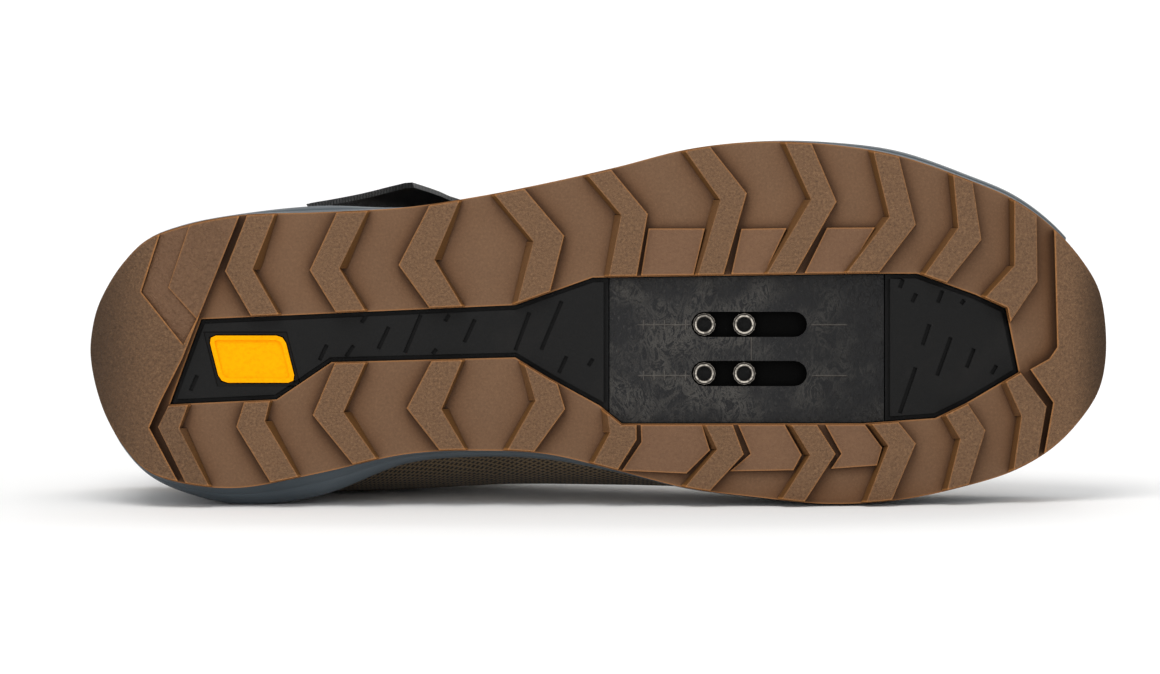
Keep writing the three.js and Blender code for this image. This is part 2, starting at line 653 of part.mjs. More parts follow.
function lastPoint(row, turn, offset) { // at an angle from the inner side, over the top
  const spread = 2 * (row.along - lastStart) / (lastEnd - lastStart) - 1;
  const x = row.along * length + offset * spread;
  const wide = footbedAt(x) + row.rise * instepHeight;
  const crown = Math.max(row.top * instepHeight + offset - wide, 1);
  const middle = ballWidth * (row.wideLateral + row.wideMedial) / 2;
  const half = Math.max(ballWidth * (row.wideMedial - row.wideLateral) / 2 + offset, 0.6);
  const power = 2 / row.square;
  const over = Math.cos(turn);
  const y = middle + half * Math.sign(over) * Math.abs(over) ** power;
  const z = wide + crown * Math.max(0, Math.sin(turn)) ** power;
  return tucked(x, y, z);
}

function tucked(x, y, z) { // the heel leans forward above and below its fullest point
  const lean = Math.min(((z - tuckHeight) / tuckSpan) ** 2, 1.4);
  const share = Math.max(0, 1 - x / tuckReach);
  return new THREE.Vector3(x + heelTuck * lean * share, y, z);
}

function lastRing(row, offset, drop) {
  const spread = 2 * (row.along - lastStart) / (lastEnd - lastStart) - 1;
  const x = row.along * length + offset * spread;
  const bed = footbedAt(x);
  const feather = (side, sign) => {
    const middle = ballWidth * (row.wideLateral + row.wideMedial) / 2;
    const foot = row[`foot${side}`] * ballWidth + sign * offset;
    const y = sign * Math.max(sign * foot, sign * middle + 0.5);
    const wide = row[`wide${side}`] * ballWidth + sign * offset;
    const rounder = [THREE.MathUtils.lerp(y, wide, 0.62), bed + row.rise * instepHeight * 0.4];
    return [[y, bed - drop], [y, bed], rounder].map(([across, z]) => tucked(x, across, z));
  };
  const turns = Array.from({ length: arcSteps + 1 }, (_, i) => (i / arcSteps) * Math.PI);
  const arc = turns.map((turn) => lastPoint(row, turn, offset));
  return [...feather('Medial', 1), ...arc, ...feather('Lateral', -1).reverse()];
}

function last(offset, drop) {
  return loft(lastSections.map((row) => lastRing(row, offset, drop)));
}

function rowAt(x) {
  const after = Math.max(1, lastSections.findIndex((row) => row.along * length >= x));
  const [from, to] = [lastSections[after - 1], lastSections[after]];
  const share = (x / length - from.along) / (to.along - from.along);
  const mixed = Object.keys(from).map((name) => [name, THREE.MathUtils.lerp(from[name], to[name], share)]);
  return Object.fromEntries(mixed);
}

const aboveSole = layer((x) => footbedAt(x) + clearance, () => instepHeight * 2);

function shell(inner, outer) { // the space between two sizes of the last, open underneath
  return last(outer, 6).subtract(last(inner, 14)).intersect(aboveSole);
}

function collarCut() {
  const line = new THREE.SplineCurve(collarRows.map(({ x, up }) => new THREE.Vector2(x, up)));
  const corners = line.getPoints(24).map(({ x, y }) => [x, y]);
  return sidePrism([...corners, [-20, instepHeight * 1.4]], -ballWidth, ballWidth);
}

function throatMiddle(x) {
  return throatDrift * (throatFront - x) / (throatFront - throatBack);
}

function throatHalf(x) {
  const down = THREE.MathUtils.clamp((x - throatBack) / (throatFront - throatBack), 0, 1);
  const after = Math.max(1, throatRows.findIndex((row) => row.down >= down));
  const [from, to] = [throatRows[after - 1], throatRows[after]];
  return throatWidth * THREE.MathUtils.mapLinear(down, from.down, to.down, from.half, to.half);
}

function throatOutline(spare, back) {
  const rows = throatRows.map(({ down }) => THREE.MathUtils.lerp(throatBack, throatFront, down));
  const places = [back, ...rows];
  const medial = places.map((x) => [x, throatMiddle(x) + throatHalf(x) + spare]);
  const lateral = places.map((x) => [x, throatMiddle(x) - throatHalf(x) - spare]).reverse();
  const tip = throatFront + spare * 0.8;
  return [...medial, [tip, throatHalf(throatFront) + spare * 0.35], [tip, -spare * 0.35], ...lateral];
}

function aboveWaist(corners) {
  return planPrism(corners, instepHeight * 0.45, instepHeight * 2);
}

const collar = collarCut();
const throat = aboveWaist(throatOutline(0, throatBack - 25));

function eyeletPlaces() {
  return lacePlaces.map((x) => [1, -1].map((side) => (
    [x, throatMiddle(x) + side * (throatHalf(x) + eyeletInset)]
  )));
}

function eyelets() {
  return joined(eyeletPlaces().flat().map(([x, y]) => (
    planPrism(round(x, y, eyeletBore, 8), instepHeight * 0.45, instepHeight * 2)
  )));
}

const eyeletHoles = eyelets();

function upper() {
  return shell(-upperWall, 0).subtract(collar).subtract(throat).subtract(eyeletHoles);
}

function overlay() {
  return shell(clearance, clearance + overlayWall).subtract(collar);
}

function heelCounter() {
  const line = [
    [-20, 0], [0.262 * length, 0], [0.225 * length, heelStack + 12], [0.17 * length, heelStack + 26],
    [0.09 * length, heelStack + 34], [0, heelStack + 40], [-20, heelStack + 40],
  ];
  return overlay().intersect(sidePrism(line, -ballWidth, ballWidth));
}

function toeCap() {
  const line = [
    [0.64 * length, 0], [0.69 * length, ballStack + 7], [0.78 * length, ballStack + 13],
    [0.86 * length, ballStack + 21], [0.915 * length, ballStack + 32], [0.94 * length, ballStack + 60],
    [1.1 * length, ballStack + 60], [1.1 * length, 0],
  ];
  return overlay().intersect(sidePrism(line, -ballWidth, ballWidth));
}

function eyestay() {
  const band = aboveWaist(throatOutline(eyestayWidth, throatBack - 25)).subtract(throat);
  return overlay().intersect(band.subtract(eyeletHoles));
}

function tongue() {
  const outer = -upperWall - clearance - 0.1;
  const corners = throatOutline(tongueEdge, tongueBack);
  return shell(outer - tongueWall, outer).intersect(aboveWaist(corners));
}

function insole() {
  return last(-upperWall - clearance, 6)
    .intersect(layer((x) => footbedAt(x) + clearance, (x) => footbedAt(x) + clearance + insoleThickness));
}

function laceStrip([fromX, fromY], [toX, toY]) {
  const run = new THREE.Vector2(toX - fromX, toY - fromY).normalize();
  const side = new THREE.Vector2(-run.y, run.x).multiplyScalar(laceWidth / 2);
  const spare = run.clone().multiplyScalar(laceWidth / 3);
  return aboveWaist([
    [fromX - spare.x + side.x, fromY - spare.y + side.y], [toX + spare.x + side.x, toY + spare.y + side.y],
    [toX + spare.x - side.x, toY + spare.y - side.y], [fromX - spare.x - side.x, fromY - spare.y - side.y],
  ]);
}

function lace() {
  const places = eyeletPlaces();
  const runs = places.slice(1).flatMap(([medial, lateral], i) => [
    laceStrip(medial, places[i][1]), laceStrip(lateral, places[i][0]),
  ]);
  const bar = laceStrip(places.at(-1)[0], places.at(-1)[1]);
  const low = clearance + overlayWall + clearance;
  return shell(low, low + laceThickness).intersect(joined([...runs, bar]));
}

function strap() {
  const low = clearance + overlayWall + strapGap;
  const lastTurn = strapRows.at(-1).turn;
  const rows = blended(strapRows, 2).map(({ turn, back, front }) => strapTip.map(({ across }) => (
    { turn, x: length * THREE.MathUtils.lerp(back, front, across) }
  )));
  const { back, front } = strapRows.at(-1);
  for (const share of [0.5, 1]) {
    rows.push(strapTip.map(({ across, past }) => {
      const x = length * (THREE.MathUtils.lerp(back, front, across) - tipDrift * share);
      return { turn: lastTurn + past * share, x };
    }));
  }
  const farthest = lastTurn + Math.max(...strapTip.map(({ past }) => past));
  const standOff = (turn) => strapFlare * Math.max(0, (turn - flareTurn) / (farthest - flareTurn)) ** 2;
  const point = ({ turn, x }, depth) => {
    const below = Math.max(0, turn - 180);
    const angle = THREE.MathUtils.degToRad(Math.min(turn, 180));
    const at = lastPoint(rowAt(x), angle, low + depth + standOff(turn));
    return new THREE.Vector3(at.x, at.y, at.z - below * 1.1);
  };
  const rings = rows.map((row) => [
    ...row.map((place) => point(place, 0)), ...row.map((place) => point(place, strapThickness)).reverse(),
  ]);
  return loft(rings);
}

function strapPad() {
  const line = padRows.map(({ along, up }) => [along * length, heelStack + up]);
  const keepOut = aboveWaist(throatOutline(eyestayWidth + 1, padKeep));
  return shell(clearance, clearance + padThickness).subtract(collar).subtract(keepOut)
    .intersect(sidePrism(line, -ballWidth, 0));
}

// Assembly

const finishes = {
  gum: { color: '#84644b', roughness: 0.72, metalness: 0 },
  foam: { color: '#4c565d', roughness: 0.55, metalness: 0 },
  insert: { color: '#252525', roughness: 0.7, metalness: 0 },
  composite: { color: '#2c2c2d', roughness: 0.45, metalness: 0 },
  steel: { color: '#8d8f92', roughness: 0.35, metalness: 1 },
  inlay: { color: '#ffb000', roughness: 0.4, metalness: 0 },
  weave: { color: '#3b2f20', roughness: 0.85, metalness: 0 },
  film: { color: '#48535a', roughness: 0.5, metalness: 0 },
  knit: { color: '#2b2622', roughness: 0.9, metalness: 0 },
  strap: { color: '#1d1d1e', roughness: 0.85, metalness: 0 },
  cord: { color: '#2e2a26', roughness: 0.9, metalness: 0 },
  footbed: { color: '#2f3133', roughness: 0.9, metalness: 0 },
};

function piece(name, solid, finish) {
  const { vertProperties, triVerts } = solid.getMesh();
  const geometry = new THREE.BufferGeometry();
  geometry.setAttribute('position', new THREE.BufferAttribute(Float32Array.from(vertProperties), 3));
  geometry.setIndex(Array.from(triVerts));
  geometry.computeVertexNormals();
  const mesh = new THREE.Mesh(geometry, new THREE.MeshStandardMaterial(finishes[finish]));
  mesh.name = name;
  return mesh;
}

const pieces = [
  piece('outsole', outsole(), 'gum'),
  piece('midsole', midsole(), 'foam'),
  piece('heel_insert', heelInsert(), 'insert'),
  piece('toe_insert', insert(plateEnd + clearance, length), 'insert'),
  piece('cleat_plate', cleatPlate(), 'composite'),
  piece('cleat_nut_plate', nutPlate(), 'steel'),
  piece('heel_inlay', heelInlay(), 'inlay'),
  piece('upper', upper(), 'weave'),
  piece('heel_counter', heelCounter(), 'film'),
  piece('toe_cap', toeCap(), 'film'),
  piece('eyestay', eyestay(), 'film'),
  piece('tongue', tongue(), 'knit'),
  piece('insole', insole(), 'footbed'),
  piece('lace', lace(), 'cord'),
  piece('instep_strap', strap(), 'strap'),
  piece('strap_pad', strapPad(), 'strap'),
];

// Rest: the shoe lies on its inner side, on the edge of the sole at heel and ball and on the upper

function lowest(names, from, to, turn) {
  let best = new THREE.Vector3(0, 0, Infinity);
  for (const mesh of pieces.filter(({ name }) => names.includes(name))) {
    const { position } = mesh.geometry.attributes;
    for (let i = 0; i < position.count; i += 1) {
      const upright = new THREE.Vector3().fromBufferAttribute(position, i);
      const laid = upright.clone().applyEuler(turn);
      if (upright.x >= from && upright.x <= to && laid.z < best.z) {
        best = laid;
      }
    }
  }
  return best;
}

function restingTurn() {
  const turn = new THREE.Euler(-Math.PI / 2, 0, 0, 'YXZ');
  for (let pass = 0; pass < 12; pass += 1) {
    const heel = lowest(['midsole', 'outsole'], 0, length * 0.4, turn);
    const ball = lowest(['midsole', 'outsole'], length * 0.6, length, turn);
    turn.y += Math.atan2(ball.z - heel.z, ball.x - heel.x);
    const side = lowest(['upper'], 0, length * 0.4, turn);
    const edge = lowest(['midsole', 'outsole'], 0, length * 0.4, turn);
    turn.x -= Math.atan2(side.z - edge.z, side.y - edge.y);
  }
  return turn;
}

const shoe = new THREE.Group();
shoe.add(...pieces);
shoe.rotation.copy(restingTurn());
shoe.updateMatrixWorld(true);
const box = new THREE.Box3().setFromObject(shoe, true);
shoe.position.set(-(box.min.x + box.max.x) / 2, -(box.min.y + box.max.y) / 2, -box.min.z);

const group = new THREE.Group();
group.add(shoe);

export default group;
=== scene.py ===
import json
import math

import bmesh
import bpy
import numpy as np
from mathutils import Matrix, Vector
from mathutils.bvhtree import BVHTree


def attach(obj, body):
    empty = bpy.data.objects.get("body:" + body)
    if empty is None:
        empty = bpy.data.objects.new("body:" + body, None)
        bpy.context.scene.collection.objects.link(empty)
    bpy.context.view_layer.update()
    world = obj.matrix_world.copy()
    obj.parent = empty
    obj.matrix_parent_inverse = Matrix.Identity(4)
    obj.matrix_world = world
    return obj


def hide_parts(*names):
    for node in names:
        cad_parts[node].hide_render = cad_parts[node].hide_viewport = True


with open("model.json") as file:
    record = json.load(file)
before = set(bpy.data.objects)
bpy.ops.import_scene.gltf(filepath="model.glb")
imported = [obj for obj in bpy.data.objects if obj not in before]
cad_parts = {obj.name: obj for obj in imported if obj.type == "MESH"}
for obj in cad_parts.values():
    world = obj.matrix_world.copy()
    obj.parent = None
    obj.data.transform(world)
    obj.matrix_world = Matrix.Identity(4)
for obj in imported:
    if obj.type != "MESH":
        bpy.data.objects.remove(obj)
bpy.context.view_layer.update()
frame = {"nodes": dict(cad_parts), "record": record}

nodes = frame["nodes"]
mm = 0.001

# The shoe is drawn upright in millimetres: X heel to toe, Y to the inner side, Z up.
# The mount on the cleat plate says how it lies.
shoe = dict(length=290, ballWidth=103, instepHeight=122, clearance=0.3, mountAt=(187.5, 5.4, 5.6))

mount = frame["record"]["mounts"][0]
soleNormal = Vector(mount["axis"]).normalized()
pitch = math.atan2(soleNormal.x, soleNormal.z)
axisX = Vector((math.cos(pitch), 0, -math.sin(pitch)))
axisZ = -soleNormal
axisY = axisZ.cross(axisX)
turn = np.array([axisX, axisY, axisZ]).T
shift = np.array(mount["pos_m"]) - turn @ (np.array(shoe["mountAt"]) * mm)


def toRow(points):  # shoe millimetres to metres as it lies
    return (np.asarray(points, dtype=float) * mm) @ turn.T + shift


def fromRow(points):
    return ((np.asarray(points, dtype=float) - shift) @ turn) / mm


# Camera, square to the sole
view = dict(middle=(139.4, 2.0, 0), width=329.6, lens=260, sensor=36)

camera = bpy.data.objects.new("camera", bpy.data.cameras.new("camera"))
bpy.context.collection.objects.link(camera)
camera.data.lens = view["lens"]
camera.data.sensor_width = view["sensor"]
camera.data.clip_start = 0.05
camera.data.clip_end = 30
distance = view["width"] * view["lens"] / view["sensor"]
target = Vector(toRow(view["middle"]))
stand = target + soleNormal * distance * mm
facing = Matrix((axisX, -axisY, soleNormal)).transposed()
camera.matrix_world = Matrix.Translation(stand) @ facing.to_4x4()
bpy.context.scene.camera = camera
print("camera at", tuple(round(v, 4) for v in stand))


# Shader maths

class Signal:
    def __init__(self, finish, socket):
        self.finish = finish
        self.socket = socket

    def maths(self, operation, first, second=0.0):
        return self.finish.node("Math", {"operation": operation}, {0: first, 1: second})

    def __add__(self, other):
        return self.maths("ADD", self, other)

    def __radd__(self, other):
        return self.maths("ADD", other, self)

    def __sub__(self, other):
        return self.maths("SUBTRACT", self, other)

    def __rsub__(self, other):
        return self.maths("SUBTRACT", other, self)

    def __mul__(self, other):
        return self.maths("MULTIPLY", self, other)

    def __rmul__(self, other):
        return self.maths("MULTIPLY", other, self)

    def __truediv__(self, other):
        return self.maths("DIVIDE", self, other)

    def __pow__(self, other):
        return self.maths("POWER", self, other)

    def __abs__(self):
        return self.maths("ABSOLUTE", self)

    def __mod__(self, other):
        return self.maths("FLOORED_MODULO", self, other)

    def floor(self):
        return self.maths("FLOOR", self)

    def sin(self):
        return self.maths("SINE", self)

    def over(self, other):  # the larger of the two
        return self.maths("MAXIMUM", self, other)

    def under(self, other):  # the smaller of the two
        return self.maths("MINIMUM", self, other)

    def ease(self, low, high):  # 0 below low, 1 above high, smooth between
        return self.finish.node("MapRange", {"interpolation_type": "SMOOTHSTEP"},
                                {"Value": self, "From Min": low, "From Max": high})

    def peak(self, half, fade):  # 1 around nothing, 0 past a width on either side
        return 1 - abs(self).ease(half, fade)

    def wave(self):  # between 0 and 1, once in each unit
        return (self * (2 * math.pi)).sin() * 0.5 + 0.5


class Finish:
    def __init__(self, name, base, **values):
        self.material = bpy.data.materials.new(name)
        self.color = srgb(base)
        self.material.use_nodes = True
        self.tree = self.material.node_tree
        self.tree.nodes.clear()
        self.output = self.tree.nodes.new("ShaderNodeOutputMaterial")
        self.shader = self.tree.nodes.new("ShaderNodeBsdfPrincipled")
        self.tree.links.new(self.shader.outputs[0], self.output.inputs[0])
        self.feed(**values)
        self.spot = self.node("TexCoord", {}, {}, "Object")
        row = [self.dot(self.spot, tuple(axis / mm)) - float(axis.dot(Vector(shift))) / mm
               for axis in (axisX, axisY, axisZ)]
        self.x, self.y, self.z = row
        self.place = self.node("CombineXYZ", {}, {"X": self.x, "Y": self.y, "Z": self.z})  # shoe millimetres
        normal = self.node("NewGeometry", {}, {}, "Normal")
        self.under = self.dot(normal, tuple(soleNormal))  # 1 where a face looks down at the ground
        self.side = self.dot(normal, tuple(axisY))

    def node(self, kind, settings, sockets, out=0):
        made = self.tree.nodes.new("ShaderNode" + kind)
        for name, value in settings.items():
            setattr(made, name, value)
        for name, value in sockets.items():
            self.join(value, made.inputs[name])
        return Signal(self, made.outputs[out])

    def join(self, value, socket):
        if isinstance(value, Signal):
            self.tree.links.new(value.socket, socket)
        else:
            socket.default_value = value

    def feed(self, **values):  # sockets of the shader
        names = dict(color="Base Color", roughness="Roughness", metallic="Metallic", sheen="Sheen Weight",
                     sheenRoughness="Sheen Roughness", specular="Specular IOR Level", normal="Normal")
        for name, value in values.items():
            self.join(value, self.shader.inputs[names[name]])

    def dot(self, first, second):
        return self.node("VectorMath", {"operation": "DOT_PRODUCT"}, {0: first, 1: second}, "Value")

    def tint(self, code, amount):  # lays a colour over what is there
        layer = {0: amount, 6: self.color, 7: srgb(code)}
        self.color = self.node("Mix", {"data_type": "RGBA", "clamp_factor": True}, layer, 2)

    def noise(self, size, detail=3.0, rough=0.55, place=None, warp=0.0):  # size in millimetres
        return self.node("TexNoise", {}, {"Vector": place or self.place, "Scale": 1 / size, "Detail": detail,
                                          "Roughness": rough, "Distortion": warp})

    def cells(self, size, place=None, chance=1.0):
        return self.node("TexVoronoi", {"feature": "SMOOTH_F1"}, {
            "Vector": place or self.place, "Scale": 1 / size, "Randomness": chance}, "Distance")

    def opened(self, distance, inside=False):  # 1 in the open, 0 deep in a corner
        settings = {"samples": 6, "inside": inside}
        return self.node("AmbientOcclusion", settings, {"Distance": distance * mm}, "AO")

    def girth(self):  # millimetres round the last
        return self.node("Attribute", {"attribute_name": "girth"}, {}, "Fac")

    def done(self, height=None, depth=0.0, **values):  # depth of the bumps in millimetres
        if height is not None:
            values["normal"] = self.node("Bump", {}, {"Height": height, "Distance": depth * mm})
        self.feed(color=self.color, **values)
        return self.material


def srgb(code):  # hex as seen on screen to linear
    parts = [int(code[i:i + 2], 16) / 255 for i in (0, 2, 4)]
    return tuple(p / 12.92 if p <= 0.04045 else ((p + 0.055) / 1.055) ** 2.4 for p in parts) + (1.0,)


# Floor and light
studio = dict(floor="f7f7f7", wall=5.6, bend=0.7, world=0.62, key=9, front=3, fill=4.5, rim=3, back=30)


def sweep():  # pale floor that curves up behind the shoe
    bend = studio["bend"]
    start = studio["wall"] - bend
    rows = [(-6.0, 0.0), (start, 0.0)]
    rows += [(start + bend * math.sin(a), bend - bend * math.cos(a))
             for a in np.linspace(0.1, math.pi / 2, 14)]
    rows += [(studio["wall"], 4.0)]
    points = [(x, y, z) for y, z in rows for x in (-7.0, 7.0)]
    faces = [(2 * i, 2 * i + 1, 2 * i + 3, 2 * i + 2) for i in range(len(rows) - 1)]
    mesh = bpy.data.meshes.new("studio_floor")
    mesh.from_pydata(points, [], faces)
    mesh.polygons.foreach_set("use_smooth", [True] * len(faces))
    floor = bpy.data.objects.new("studio_floor", mesh)
    bpy.context.collection.objects.link(floor)
    mesh.materials.append(Finish("studioPaper", studio["floor"], roughness=0.9, specular=0.1).done())


def lamp(name, place, aim, size, power, tint=(1, 1, 1)):
    light = bpy.data.lights.new(name, "AREA")
    light.shape = "DISK"
    light.size = size
    light.energy = power
    light.color = tint
    made = bpy.data.objects.new(name, light)
    made.location = place
    made.rotation_euler = (Vector(aim) - Vector(place)).to_track_quat("-Z", "Y").to_euler()
    bpy.context.collection.objects.link(made)


sweep()
lamp("key", (-0.25, -0.75, 1.25), (0, -0.05, 0.05), 0.9, studio["key"], (1, 0.99, 0.97))
lamp("front", (0.75, -1.35, 0.55), (0, -0.06, 0.05), 1.1, studio["front"])
lamp("fill", (-0.7, -1.3, 0.1), (0, -0.05, 0.03), 0.8, studio["fill"])
lamp("rim", (0.5, 0.9, 0.9), (0, 0, 0.06), 0.8, studio["rim"])
for back in (1.9, studio["wall"] - 1.6):  # the floor and the wall behind the shoe
    lamp("back", (0, back, 2.3), (0, back + 1.4, 0.5), 2.6, studio["back"])
bpy.context.scene.view_settings.view_transform = "Standard"
world = bpy.context.scene.world or bpy.data.worlds.new("world")
bpy.context.scene.world = world
world.use_nodes = True
sky = world.node_tree.nodes.get("Background")
sky.inputs[0].default_value = (1, 1, 1, 1)
sky.inputs[1].default_value = studio["world"]


# Finishes of the sole
tread = dict(spring=18, springStart=203, bevel=13, bevelEnd=29, curl=1.8, shelf=1.9, band=0.8,
             plate=0.3)


def springAt(x):
    share = (x - tread["springStart"]) / (shoe["length"] - tread["springStart"])
    return tread["spring"] * max(0, share) ** tread["curl"]


def heelLiftAt(x, height):
    return height * max(0, 1 - x / tread["bevelEnd"]) ** tread["curl"]


def treadAt(x):
    return springAt(x) + heelLiftAt(x, tread["bevel"])


def depthOf(finish):  # millimetres above the ground face of the tread
    span = shoe["length"] - tread["springStart"]
    spring = ((finish.x - tread["springStart"]) / span).over(0.0) ** tread["curl"] * tread["spring"]
    bevel = (1 - finish.x / tread["bevelEnd"]).over(0.0) ** tread["curl"] * tread["bevel"]
    return finish.z - spring - bevel


gumLook = dict(tip="6f5239", floor="6b4f38", shelf="6e5039", wall="62400f", edge="b3783f", dark="22140a",
               speck="3a281b", pale="92704f", broad="7c5b3f", warm="5a3513", ends="241402", grain=0.75,
               pad=(36, 46), heelEnd=(-3, 20), toeEnd=(278, 290), bare=(14, 34, 276, 288))


def gumRubber():
    gum = Finish("gumRubber", gumLook["shelf"], roughness=0.62, specular=0.28)
    depth = depthOf(gum)
    tip = 1 - depth.ease(0.15, 0.4)
    low = depth.ease(3.2, 3.5)
    wall = 1 - gum.under.ease(0.3, 0.6)
    wall = wall * gum.x.ease(*gumLook["bare"][:2]) * (1 - gum.x.ease(*gumLook["bare"][2:]))
    edge = (1 - gum.opened(0.7, inside=True).ease(0.3, 0.92)) * (1 - wall * 0.3)
    fleck = gum.noise(gumLook["grain"], 4, 0.75)
    heelPad = 1 - gum.x.ease(*gumLook["pad"])
    gum.tint(gumLook["tip"], tip)
    gum.tint(gumLook["floor"], low)
    gum.tint(gumLook["speck"], (fleck - 0.5).over(0.0) * (1.1 + 2.0 * tip))
    gum.tint(gumLook["pale"], (0.47 - fleck).over(0.0) * (1.2 + 2.8 * tip))
    gum.tint(gumLook["broad"], (gum.noise(22, 2) - 0.5) * 0.8)
    gum.tint(gumLook["dark"], heelPad * (1 - low) * 0.12)
    # painted shade: lug walls, turned away from the ground, are darker and more saturated
    gum.tint(gumLook["wall"], wall * 0.75)
    # painted shade: warm and dark in the hollows and close in the corners between lugs
    gum.tint(gumLook["warm"], (1 - gum.opened(9).ease(0.5, 1.0)) * (0.5 + 0.25 * low))
    gum.tint(gumLook["dark"], (1 - gum.opened(3.2).ease(0.35, 0.95)) * (0.35 + 0.3 * low))
    # painted highlight along the convex edges of the lugs
    gum.tint(gumLook["edge"], edge * 0.85)
    ends = (1 - gum.x.ease(*gumLook["heelEnd"])) * 0.75 + gum.x.ease(*gumLook["toeEnd"]) * 0.8
    gum.tint(gumLook["ends"], ends)  # painted shade: the two ends curve away from the light and darken
    wrinkle = gum.cells(1.5) * 0.9 + gum.noise(1.25, 3, 0.6, warp=0.9) * 1.4
    height = gum.noise(0.5, 2, 0.65) * (0.4 + 0.8 * tip) + wrinkle * (0.35 + 1.0 * heelPad) * (1 - low)
    height = height * (1 - 0.55 * low) * (1 - 0.5 * wall)
    return gum.done(height, 0.42, roughness=0.56 + 0.16 * fleck + 0.06 * low)


foamLook = dict(medial="434b51", lateral="3e474d", grain="4a565e", swirl="363f45", bore="020202",
                bores=(160, 165, 210, 215), middle=5.4, across=(14, 18))


def foam():
    eva = Finish("midsoleFoam", foamLook["medial"], roughness=0.5, specular=0.4)
    grain = eva.noise(0.7, 3, 0.7)
    # painted shade: faces turned to the outer side are painted darker than faces turned to the inner side
    eva.tint(foamLook["lateral"], 0.5 - 0.5 * eva.side)
    eva.tint(foamLook["grain"], (grain - 0.4) * 0.8)
    eva.tint(foamLook["swirl"], (eva.noise(30, 3) - 0.5) * 0.9)
    bored = eva.x.ease(*foamLook["bores"][:2]) * (1 - eva.x.ease(*foamLook["bores"][2:]))
    bored = bored * (eva.y - foamLook["middle"]).peak(*foamLook["across"])
    eva.tint(foamLook["bore"], bored)  # painted shade where the foam is seen down a bore
    return eva.done(grain + 0.4 * eva.noise(0.25, 1), 0.05, roughness=0.44 + 0.16 * grain)


rubberLook = dict(groove="030303", face="0a0a0a", grain="262524", broad="2a2623", deep="020202",
                  inlayAt=(46.1, 8.3), inlayHalf=(10.8, 6.7), inlaySkew=0.254)


def blackRubber():
    rubber = Finish("insertRubber", rubberLook["groove"], roughness=0.6, specular=0.2)
    grain = rubber.noise(0.6, 3, 0.65)
    face = 1 - depthOf(rubber).ease(3.6, 4.0)
    rubber.tint(rubberLook["face"], face)
    rubber.tint(rubberLook["grain"], (grain - 0.45) * 0.7 * face)
    rubber.tint(rubberLook["broad"], (rubber.noise(14, 3) - 0.55) * 0.8 * face)
    # painted shade in the corners
    rubber.tint(rubberLook["deep"], 1 - rubber.opened(2.2).ease(0.4, 0.95))
    (middleX, middleY), (halfX, halfY) = rubberLook["inlayAt"], rubberLook["inlayHalf"]
    across = rubber.y - middleY
    slant = rubber.x - middleX - across * rubberLook["inlaySkew"]
    ring = (abs(slant) - halfX).over(abs(across) - halfY)  # millimetres outside the inlay
    channel = ring.ease(-0.6, -0.1) * (1 - ring.ease(0.8, 1.2))
    rubber.tint(rubberLook["deep"], channel)
    return rubber.done(grain * 0.2 - channel * 1.4, 0.4, roughness=0.52 + 0.2 * grain)


plateLook = dict(base="101012", cloud="3e3d3c", swirl="57544f", toeward="060607", mark="77716a",
                 deep="040404", stretch=(1.0, 1.7, 1.0), lineY=(-1.5, 13.0), lines=(155.5, 170.5, 205, 215),
                 crossAt=(188.2, 5.4), spacing=3.0)


def composite():
    plate = Finish("plateComposite", plateLook["base"], roughness=0.42, specular=0.25)
    flow = plate.node("Mapping", {"vector_type": "TEXTURE"},
                      {"Vector": plate.place, "Scale": plateLook["stretch"]})
    swirl = plate.noise(5.0, 8, 0.75, flow, 2.2)
    cloud = plate.noise(1.1, 6, 0.75, flow, 1.6).ease(0.48, 0.68)
    vein = ((swirl - 0.5) * 15).peak(0, 1)
    plate.tint(plateLook["cloud"], cloud * 0.9)
    plate.tint(plateLook["swirl"], vein * plate.noise(14, 3).ease(0.38, 0.66) * 0.6)
    plate.tint(plateLook["toeward"], plate.x.ease(192, 214) * 0.55)
    # scale lines and ticks pressed beside the slots
    nearStart, nearEnd, farStart, farEnd = plateLook["lines"]
    near = (1 - plate.x.ease(nearEnd, nearEnd + 1)) * plate.x.ease(nearStart, nearStart + 1)
    far = plate.x.ease(farStart, farStart + 1) * (1 - plate.x.ease(farEnd, farEnd + 1))
    tick = ((plate.x % plateLook["spacing"]) - plateLook["spacing"] / 2).peak(0.12, 0.3) * near
    crossX, crossY = plateLook["crossAt"]
    mark = (plate.x - crossX).peak(0.12, 0.3) * (plate.y - crossY).peak(3.2, 3.4)
    for y in plateLook["lineY"]:
        mark = mark + (plate.y - y).peak(0.12, 0.3) * near.over(far) + (plate.y - y).peak(1.3, 1.5) * tick
    mark = mark.under(1.0)
    pressed = mark * plate.under.ease(0.8, 0.95)
    plate.tint(plateLook["mark"], pressed * 0.28)
    # painted shade in the corners and slots
    plate.tint(plateLook["deep"], (1 - plate.opened(3.0).ease(0.35, 0.9)) * 0.9)
    height = plate.noise(0.5, 2) * 0.3 + swirl * 0.8 + cloud * 0.4 + pressed
    return plate.done(height, 0.22, roughness=0.34 + 0.18 * cloud + 0.1 * mark)


steelLook = dict(sheet="050505", face="2f2c29", rim="d8d0c4", brushed="141312", deep="020202",
                 barrelX=(174.8, 186.2), barrelY=(-1.6, 12.4), rims=(2.45, 3.1))


